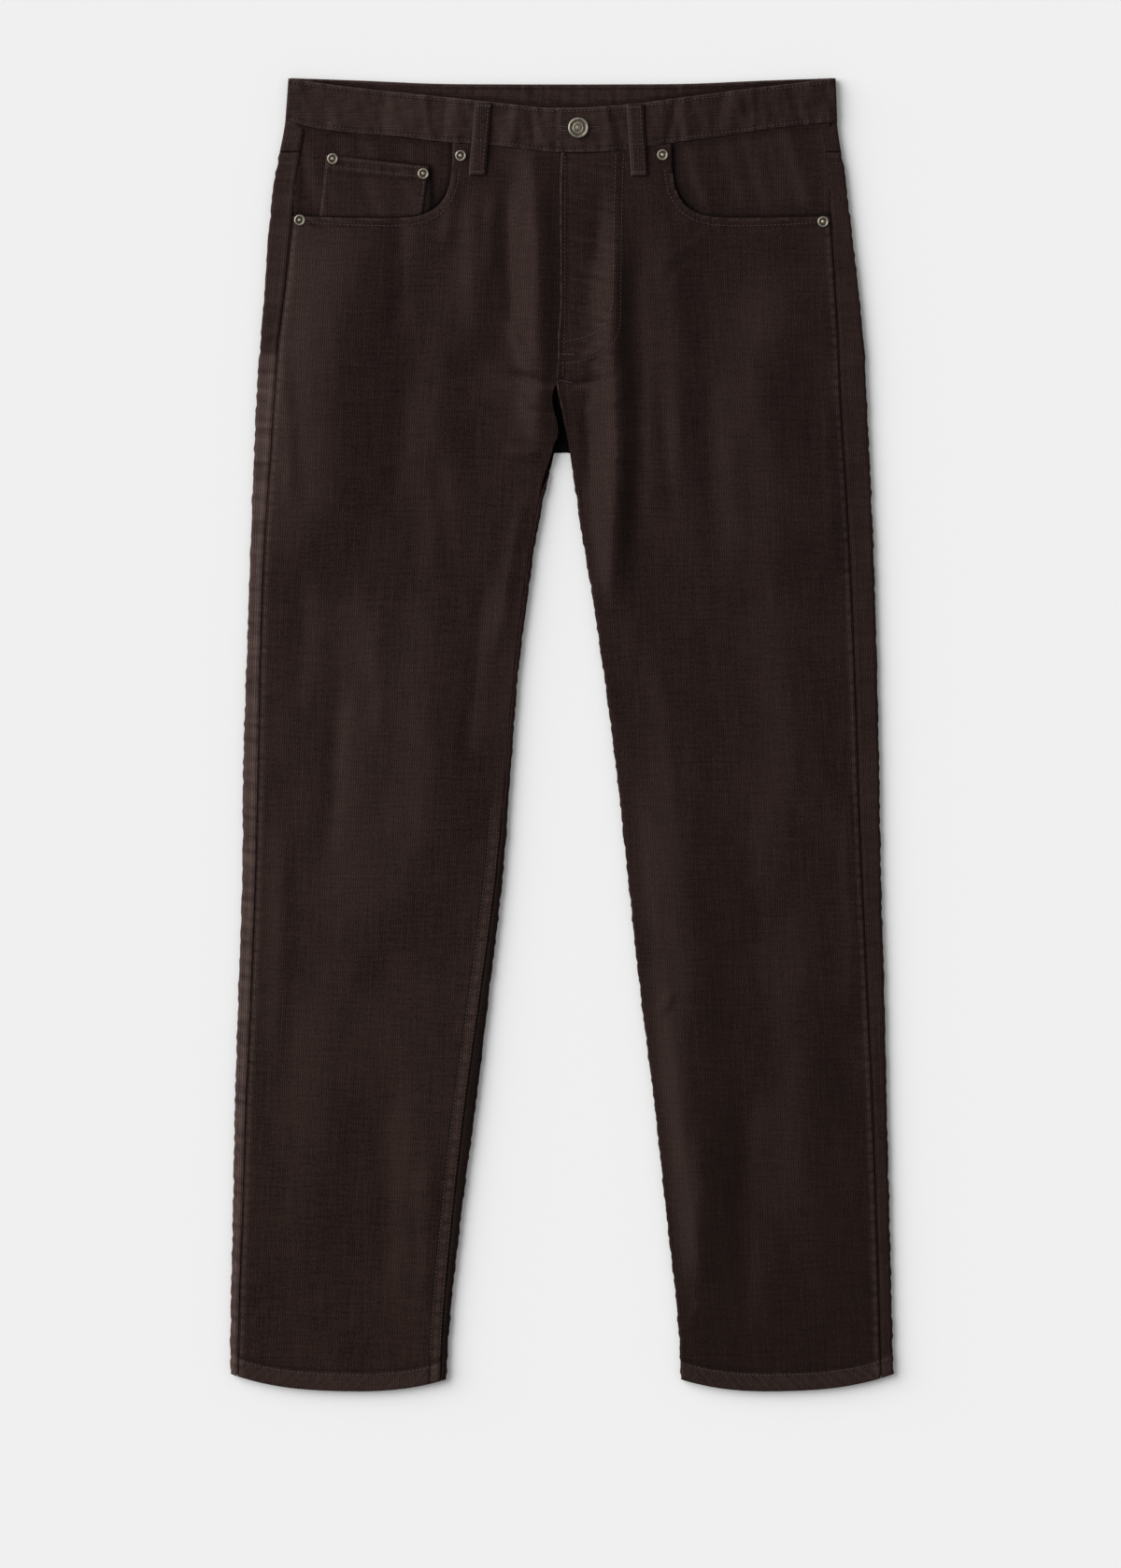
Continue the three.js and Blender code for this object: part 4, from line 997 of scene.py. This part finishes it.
# Facing: fills the mouth and runs on under the front's edge, with its top along the band
def makeFacing(side):
    f = facingCloth
    sign = side["sign"]
    v, u = evenShares(f["rows"], f["columns"])
    outer = readOuter(side["column"], 470) - readOuter(side["strip"], 470) + f["side"]
    edge = np.array(mouthEdge(1, f["under"], outer))
    down = np.linspace(f["mouthTop"], f["mouthLow"], f["rows"] + 1)
    innerX = np.interp(-down, -edge[:16, 1], edge[:16, 0])[:, None]
    distance = mix(innerX, outer, u)
    topY = bandBottom(sign * distance) - level["gap"]
    lowY = np.interp(distance, edge[4:, 0], edge[4:, 1])
    y = mix(topY, lowY, v)
    distance = mix(np.interp(-y, -edge[:16, 1], edge[:16, 0]), outer, u)
    x = sign * distance
    z = level["frontTop"] - level["cloth"] - f["drop"] + 0.12 * unevenWave(x, 34, 2.0) * np.sin(math.pi * v)
    z = z + f["bandRise"] * ease((6 - (topY - y)) / 6) + f["sideRise"] * ease((7 - (outer - distance)) / 4)
    toMouth = farFrom(x, y, mouthEdge(sign, 0, 250))
    wearAndShading = 0.03 + 0.09 * unevenWave(x + 0.3 * y, 29, 2.0)
    wearAndShading = wearAndShading - f["shadow"] * bell(toMouth, 2.6) - f["wideShadow"] * bell(toMouth, 8.5)
    # Painted shade in the mouth's lower corner
    wearAndShading = wearAndShading - 0.25 * ease((118 - distance) / 20) * ease((466 - y) / 20)
    wearAndShading = wearAndShading - f["bandShadow"] * bell(topY - y, 1.4)
    if side["name"] == "right":
        wearAndShading = wearAndShading - coinShadow(x, y)
    made = clothPiece(f"{side['name']}FacingCloth", x, y, z, x, y, np.clip(wearAndShading, -1, 1), f["thickness"], "up")
    return finishCloth(made, f"pocket_facing_{side['name']}", (0.15, 0.095), f"front_{side['name']}")


coinCloth = {
    "inner": (-111.4, 474.6), "outer": (-197, 484.4), "footInner": -116.8, "footOuter": -202.4,
    "rows": 34, "columns": 50, "thickness": 1.1, "height": 48, "width": 86, "drop": 0.25,
    "hem": 9.5, "hemWearAndHighlight": 0.12, "topHighlight": 0.16, "sideRub": 0.16, "shadow": 0.8, "sideShadow": 0.9,
}


# The dark line that the coin pocket casts on the facing
def coinShadow(x, y):
    coin = coinCloth
    coinTop = coin["inner"][1] - (x - coin["inner"][0]) * 0.1145
    top = coin["shadow"] * bell(y - coinTop, 2.0) * (x > -198) * (x < -108) * ease((x + 200) / 60)
    return top + coin["sideShadow"] * bell(x + 109, 2.2) * (y < coinTop)


# Coin pocket: its top edge is hemmed, its foot follows the mouth's edge
def makeCoinPocket():
    coin = coinCloth
    v, u = evenShares(coin["rows"], coin["columns"])
    edge = np.array(sorted(mouthEdge(-1, -0.6, 250)[4:]))
    footX = mix(coin["footInner"], coin["footOuter"], u)
    footY = np.interp(footX, edge[:, 0], edge[:, 1])
    x = mix(mix(coin["inner"][0], coin["outer"][0], u), footX, v)
    y = mix(mix(coin["inner"][1], coin["outer"][1], u), footY, v)
    fromTop = v * coin["height"]
    fromSide = np.minimum(u, 1 - u) * coin["width"]
    fromHem = fromTop - coin["hem"]
    sidePucker = unevenWave(y, 7.5, 2.0) * bell(fromSide, 5)
    topPucker = unevenWave(x, 8.5, 4.0) * bell(fromTop - 8, 5)
    softness = unevenWave(x + 0.4 * y, 27, 1.0)
    z = level["frontTop"] - coin["drop"] + 0.2 * ease((1 - fromHem) / 1.5) - 0.5 * bell(fromSide, 0.9)
    z = z - 0.25 * bell(fromHem, 0.8) - 0.22 * bell(fromSide - 2.5, 0.8)
    z = z + 0.14 * sidePucker + 0.12 * topPucker + 0.16 * softness
    z = z - 0.35 * bell(fromTop, 0.8) - 0.8 * ease((v - 0.94) / 0.06)
    # Paler top edge and hem line, worn and with painted highlights; painted light and shade on the puckers; a
    # painted shade line below the hem
    wearAndShading = 0.06 + coin["topHighlight"] * bell(fromTop, 2) + coin["hemWearAndHighlight"] * bell(fromHem, 1.6)
    wearAndShading = wearAndShading + coin["sideRub"] * bell(fromSide, 2) + 0.10 * sidePucker + 0.09 * topPucker
    wearAndShading = wearAndShading + 0.05 * softness - 0.2 * bell(fromTop - 13, 1.2)
    made = clothPiece("coinPocketCloth", x, y, z, x, y, np.clip(wearAndShading, -1, 1), coin["thickness"], "up")
    return finishCloth(made, "coin_pocket", (0.09, 0.052), "pocket_facing_right")


backPocketCloth = {
    "inner": 60, "outer": 196, "narrowing": 6, "top": 440, "corner": 314, "point": 294, "tilt": 7,
    "rows": 36, "columns": 40, "thickness": 1.1, "width": 130, "edgeWearAndHighlight": 0.15,
}


def makeBackPocket(side):
    p = backPocketCloth
    v, u = evenShares(p["rows"], p["columns"])
    distance = mix(p["inner"] + p["narrowing"] * v, p["outer"] - p["narrowing"] * v, u)
    topY = mix(p["top"] - p["tilt"], p["top"], u)
    footY = np.where(u < 0.5, mix(p["corner"] - p["tilt"] / 2, p["point"], u * 2),
                     mix(p["point"], p["corner"] + p["tilt"], u * 2 - 1))
    x = side["sign"] * distance
    y = mix(topY, footY, v)
    fromEdge = np.minimum(np.minimum(u, 1 - u), np.minimum(v, 1 - v)) * p["width"]
    z = 0.02 + 0.25 * bell(fromEdge - 2.5, 0.9)
    wearAndShading = p["edgeWearAndHighlight"] * bell(fromEdge, 2)
    made = clothPiece(f"{side['name']}BackPocketCloth", x, y, z, x, y, wearAndShading, p["thickness"], "down")
    return finishCloth(made, f"back_pocket_{side['name']}", (0.136, 0.147), f"back_{side['name']}")


frontLoopCloth = {
    "rows": 48, "columns": 12, "width": 14, "thickness": 1.6, "edgeWearAndHighlight": 0.4, "edgeShade": 0.3,
    "share": (0, 0.07, 0.16, 0.4, 0.62, 0.8, 0.92, 1),  # down the loop
    "height": (9.95, 10.0, 9.85, 10.35, 10.05, 9.3, 9.2, 9.15),  # at those shares
}


# Front belt loop: a folded strip, sewn flat at both ends and a little proud between them
def makeFrontLoop(loop):
    f = frontLoopCloth
    v, u = evenShares(f["rows"], f["columns"])
    toSide = np.abs(2 * u - 1)
    z = np.interp(v, f["share"], f["height"]) - 0.7 * toSide**6
    z = z - 0.35 * bell(np.minimum(v, 1 - v), 0.012) - 0.4 * bell(v - 0.955, 0.008)
    z = z - 0.22 * bell(toSide - 0.62, 0.1)
    x = mix(loop["topX"], loop["bottomX"], v) + (u - 0.5) * f["width"]
    y = mix(loop["top"], loop["bottom"], v)
    # Painted highlight on the left edge, which faces the light, and painted shade on the right edge
    paintedSideLight = np.where(u < 0.5, f["edgeWearAndHighlight"], -f["edgeShade"]) * toSide**5
    wearAndShading = 0.06 + paintedSideLight + 0.2 * bell(v - 0.97, 0.02)
    made = clothPiece(loop["piece"], x, y, z, x, y, np.clip(wearAndShading, -1, 1), f["thickness"], "up")
    return finishCloth(made, loop["node"], (0.0145, 0.062), "waistband")


backLoopCloth = {"rows": 30, "columns": 8, "width": 14, "length": 60, "thickness": 1.1, "edgeWearAndHighlight": 0.3}


def makeBackLoop(loop):
    b = backLoopCloth
    v, u = evenShares(b["rows"], b["columns"])
    toSide = np.abs(2 * u - 1)
    z = 0.02 + 0.4 * toSide**6 + 0.2 * bell(toSide - 0.62, 0.1)
    x = loop["x"] + (u - 0.5) * b["width"]
    y = mix(loop["top"], loop["top"] - b["length"], v)
    made = clothPiece(loop["piece"], x, y, z, x, y, b["edgeWearAndHighlight"] * toSide**5, b["thickness"], "down")
    return finishCloth(made, loop["node"], (0.0145, 0.062), "waistband")


facings = [makeFacing(side) for side in sides]
coinPocket = makeCoinPocket()
backPockets = [makeBackPocket(side) for side in sides]
frontLoops = [
    {"piece": "rightFrontLoopCloth", "node": "belt_loop_front_right", "topX": -65.6, "bottomX": -70.8,
     "top": 528, "bottom": 467.5},
    {"piece": "leftFrontLoopCloth", "node": "belt_loop_front_left", "topX": 60.7, "bottomX": 64.6,
     "top": 527, "bottom": 467},
]
backLoops = [
    {"piece": "rightBackLoopCloth", "node": "belt_loop_back_right", "x": -150, "top": 543.5},
    {"piece": "centreBackLoopCloth", "node": "belt_loop_back_centre", "x": 0, "top": 541},
    {"piece": "leftBackLoopCloth", "node": "belt_loop_back_left", "x": 150, "top": 543.5},
]
loops = [makeFrontLoop(loop) for loop in frontLoops] + [makeBackLoop(loop) for loop in backLoops]

print("stage: rivets and button")


# A turned metal piece from a profile of (radius, height, brightness)
def turnedPiece(name, profile, steps, x, y, z):
    bm = bmesh.new()
    bright = bm.verts.layers.float.new("wearAndShading")
    ring = []
    for radius, height, shine in profile:
        vert = bm.verts.new((radius * mm, 0, height * mm))
        vert[bright] = shine
        ring.append(vert)
    edges = [bm.edges.new(pair) for pair in zip(ring[:-1], ring[1:])]
    bmesh.ops.spin(bm, geom=ring + edges, cent=(0, 0, 0), axis=(0, 0, 1), angle=2 * math.pi, steps=steps,
                   use_merge=True)
    bmesh.ops.remove_doubles(bm, verts=bm.verts, dist=1e-6)
    bmesh.ops.recalc_face_normals(bm, faces=bm.faces)
    for face in bm.faces:
        face.smooth = True
    bmesh.ops.translate(bm, verts=bm.verts, vec=place(x, y, z))
    return addPiece(name, bm)


rivetProfile = [(0, 0, 0), (4.1, 0, 0), (4.6, 0.25, 0.2), (4.7, 0.7, 0.5), (4.5, 1.2, 0.8), (4.1, 1.55, 1),
                (3.6, 1.6, 0.9), (3.2, 1.35, 0.5), (2.9, 0.85, 0.1), (2.2, 0.75, 0), (1.7, 0.85, 0.05),
                (1.4, 1.3, 0.7), (1.0, 1.75, 1), (0.5, 1.9, 1), (0, 1.95, 1)]
# Rivets: name, x, y, z
rivets = [("coin_outer", -191.5, 481.2, 6.7), ("coin_inner", -115.8, 468.8, 6.7),
          ("right_inner", -84.6, 483.8, 6.9), ("right_outer", -219, 430, 6.9),
          ("left_inner", 84, 484.5, 6.9), ("left_outer", 218, 428.6, 6.9)]
for name, x, y, z in rivets:
    rivet = turnedPiece(f"rivet_{name}_metal", rivetProfile, 32, x, y, z)
    dress(rivet, [f"rivet_{name}"], antiqueMetal)

buttonProfile = [(0, 0, 0), (7.2, 0, 0), (8.1, 0.5, 0.2), (8.55, 1.2, 0.5), (8.6, 1.9, 0.7), (8.3, 2.6, 0.9),
                 (7.7, 3.0, 1), (7.1, 2.95, 0.8), (6.7, 2.6, 0.3), (6.3, 2.4, 0.05), (5.4, 2.45, 0.25),
                 (4.6, 2.5, 0.2), (4.2, 2.75, 0.7), (3.8, 2.85, 0.9), (3.4, 2.7, 0.4), (3.1, 2.55, 0.1),
                 (2.2, 2.75, 0.35), (1.1, 3.0, 0.6), (0, 3.1, 0.7)]
buttonPlace = (13.6, 506.6, bandTopLevel + bandCloth["lapRise"] + 0.3)
button = turnedPiece("tackButtonMetal", buttonProfile, 64, *buttonPlace)
dress(button, ["tack_button"], antiqueMetal)

print("stage: topstitching")


def clothTree(pieces):
    graph = bpy.context.evaluated_depsgraph_get()
    points, faces = [], []
    for piece in pieces:
        shown = piece.evaluated_get(graph)
        mesh = shown.to_mesh()
        start = len(points)
        points.extend(v.co.copy() for v in mesh.vertices)
        faces.extend([start + k for k in polygon.vertices] for polygon in mesh.polygons)
        shown.to_mesh_clear()
    return BVHTree.FromPolygons(points, faces)


bpy.context.view_layer.update()
clothSurface = clothTree(fronts + backs + yokes + [band, coinPocket] + facings + backPockets + loops)


# Stitches in mm
stitches = {
    "plain": {"length": 2.6, "gap": 0.7, "radius": 0.32},
    "barTack": {"length": 1.8, "gap": 0.1, "radius": 0.5},
    "loopTack": {"length": 1.5, "gap": 0.05, "radius": 0.45},
    "buttonhole": {"length": 0.9, "gap": 0.05, "radius": 0.55},
}
stitchInset = 3.2  # from the band's edges


def row(line, kind="plain", fromTop=True):
    return {"line": line, "fromTop": fromTop, **stitches[kind]}


# One stitch is a slim bead that lies along its row on the cloth
def sewRow(bm, line, fromTop, length, gap, radius):
    points = [Vector(place(x, y, 0)) for x, y in line]
    up = 1 if fromTop else -1
    run = [0.0]
    for a, b in zip(points[:-1], points[1:]):
        run.append(run[-1] + (b - a).length)

    def onCloth(distance):
        k = 0
        while k < len(run) - 2 and run[k + 1] < distance:
            k += 1
        share = (distance - run[k]) / max(run[k + 1] - run[k], 1e-9)
        point = points[k].lerp(points[k + 1], min(max(share, 0), 1))
        return clothSurface.ray_cast(Vector((point.x, point.y, 0.1 * up)), Vector((0, 0, -up)))[0]

    distance = gap * mm
    while distance + length * mm < run[-1]:
        a = onCloth(distance)
        b = onCloth(distance + length * mm)
        distance += (length + gap) * mm
        if a is None or b is None or abs(a.z - b.z) > 0.0012:
            continue
        middle = (a + b) / 2 + Vector((0, 0, 0.05 * up * mm))
        turn = (b - a).to_track_quat("X", "Z").to_matrix().to_4x4()
        size = Matrix.Diagonal(((b - a).length * 0.52, radius * mm, radius * 0.8 * mm, 1))
        bead = Matrix.Translation(middle) @ turn @ size
        bmesh.ops.create_icosphere(bm, subdivisions=1, radius=1, matrix=bead)


def sewPiece(name, rows):
    bm = bmesh.new()
    for stitched in rows:
        sewRow(bm, **stitched)
    for face in bm.faces:
        face.smooth = True
    dress(addPiece(name, bm), [], thread)


# A row along one edge of the band: column 1 is its top edge, column 2 its bottom edge
def bandRow(column, along):
    inset = -stitchInset if column == 1 else stitchInset
    return row([(x, float(readBandFront(column, x)) + inset) for x in along])


def hemRow(side, front):
    outer, inner = readOuter(side["column"], -530), readInner(side["column"], -530)
    spread = np.linspace(outer - 4, inner + 5, 60)
    y = hemCurve(side, spread, 1.0 if front else 0.0) + hem["height"] - 2.2
    return row([(side["sign"] * d, v) for d, v in zip(spread, y)], fromTop=front)


def legLine(side, offset, fromY, toY):
    line = []
    for y in np.linspace(fromY, toY, 60):
        edge = float(readInner(side["column"], y)) + float(readInner(3, y)) + offset
        line.append((side["sign"] * edge, float(y)))
    return row(line)


underlapX = np.linspace(-226, -6, 60)
lapX = np.linspace(-2.5, 226, 60)
backX = np.linspace(-226, 226, 90)
bandRows = [bandRow(1, underlapX), bandRow(2, underlapX), bandRow(1, lapX), bandRow(2, lapX)]
bandRows += [row([(-1.6, 520.5), (-1.6, 489.5)])]
bandRows += [row([(x, float(readBandBack(1, abs(x))) - stitchInset) for x in backX], fromTop=False)]
bandRows += [row([(x, float(backBandBottom(x)) + stitchInset) for x in backX], fromTop=False)]
sewPiece("bandStitching", bandRows)

flyRows = [row(flyLine(48.8)), row(flyLine(42.5))]
flyRows += [row([(-0.6, 318), (11, 318)], "barTack"), row([(-2.4, 296), (10, 294)], "barTack")]
flyRows += [row([(2.6, 484), (2.2, 330), (0.5, 296)])]
sewPiece("flyStitching", flyRows)

pocketRows = [row(mouthEdge(side["sign"], 6.6, 216)[1:]) for side in sides]
coinLines = [[(-196, 475.4), (-113, 465.6)], [(-196.4, 482.2), (-112.5, 472.8)],
             [(-113.6, 473), (-118.4, 440)], [(-195, 482), (-200, 437)]]
sewPiece("pocketStitching", pocketRows + [row(line) for line in coinLines])
sewPiece("hemStitching", [hemRow(side, True) for side in sides] + [hemRow(side, False) for side in sides])

legRows = [legLine(sides[0], 2.2, -80, -520), legLine(sides[0], 10, -60, -520)]
backPocketLine = [(63, 431), (68, 314), (128, 298), (187, 323), (193, 437)]
for side in sides:
    sign = side["sign"]
    legRows.append(row([(sign * 2.5, 441), (sign * 2.5, 240)], fromTop=False))
    for drop in (3, 9):
        yokeRow = [(sign * d, float(yokeLine(d)) - drop) for d in np.linspace(3, 236, 60)]
        legRows.append(row(yokeRow, fromTop=False))
        legRows.append(row([(sign * d, 486.4 - drop) for d in np.linspace(224, 236, 8)]))
    legRows.append(row([(sign * x, y) for x, y in backPocketLine], fromTop=False))
    legRows.append(row([(sign * 62, 418), (sign * 194, 424.5)], fromTop=False))
sewPiece("legStitching", legRows)

loopRows = []
for loop in frontLoops:
    for offset in (-4.4, 4.4):
        ends = (loop["topX"] + offset, loop["top"] - 2), (loop["bottomX"] + offset, loop["bottom"] + 2)
        loopRows.append(row(list(ends)))
    for drop, x in ((3.0, loop["bottomX"]), (loop["top"] - loop["bottom"] - 3, loop["topX"])):
        y = loop["bottom"] + drop
        loopRows.append(row([(x - 6, y), (x + 6.4, y)], "loopTack"))
sewPiece("loopStitching", loopRows)

buttonholeRows = []
for rowY in (504.5, 507.5):
    for start, end in ((-2.2, 5.2), (22.6, 31.0)):
        buttonholeRows.append(row([(start, rowY), (end, rowY)], "buttonhole"))
buttonholeRows.append(row([(31.4, 507.6), (31.4, 504.4)], "buttonhole"))
sewPiece("buttonholeStitching", buttonholeRows)

print("stage: floor and lights")


def makeFloor():
    bm = bmesh.new()
    bmesh.ops.create_grid(bm, x_segments=1, y_segments=1, size=4)
    floor = addPiece("paleFloor", bm)
    floor.location.z = -0.0003
    m = Nodes("paleFloorPaper")
    m.shader.inputs["Base Color"].default_value = (0.80, 0.80, 0.80, 1)
    m.shader.inputs["Roughness"].default_value = 1
    m.shader.inputs["Specular IOR Level"].default_value = 0
    floor.data.materials.append(m.material)


# Even light from far off: strength, softness in degrees, and the way towards it
def sunLight(name, strength, softness, towards):
    data = bpy.data.lights.new(name, "SUN")
    data.energy = strength
    data.angle = math.radians(softness)
    lamp = bpy.data.objects.new(name, data)
    lamp.rotation_euler = Vector(towards).to_track_quat("Z", "Y").to_euler()
    bpy.context.scene.collection.objects.link(lamp)


makeFloor()
sunLight("windowLeft", 4.0, 60, (-0.82, 0.36, 0.54))
world = bpy.data.worlds.new("studio")
bpy.context.scene.world = world
world.use_nodes = True
world.node_tree.nodes["Background"].inputs["Color"].default_value = (1, 1, 1, 1)
world.node_tree.nodes["Background"].inputs["Strength"].default_value = 0.43
bpy.context.scene.view_settings.view_transform = "Standard"

print("stage: finish")
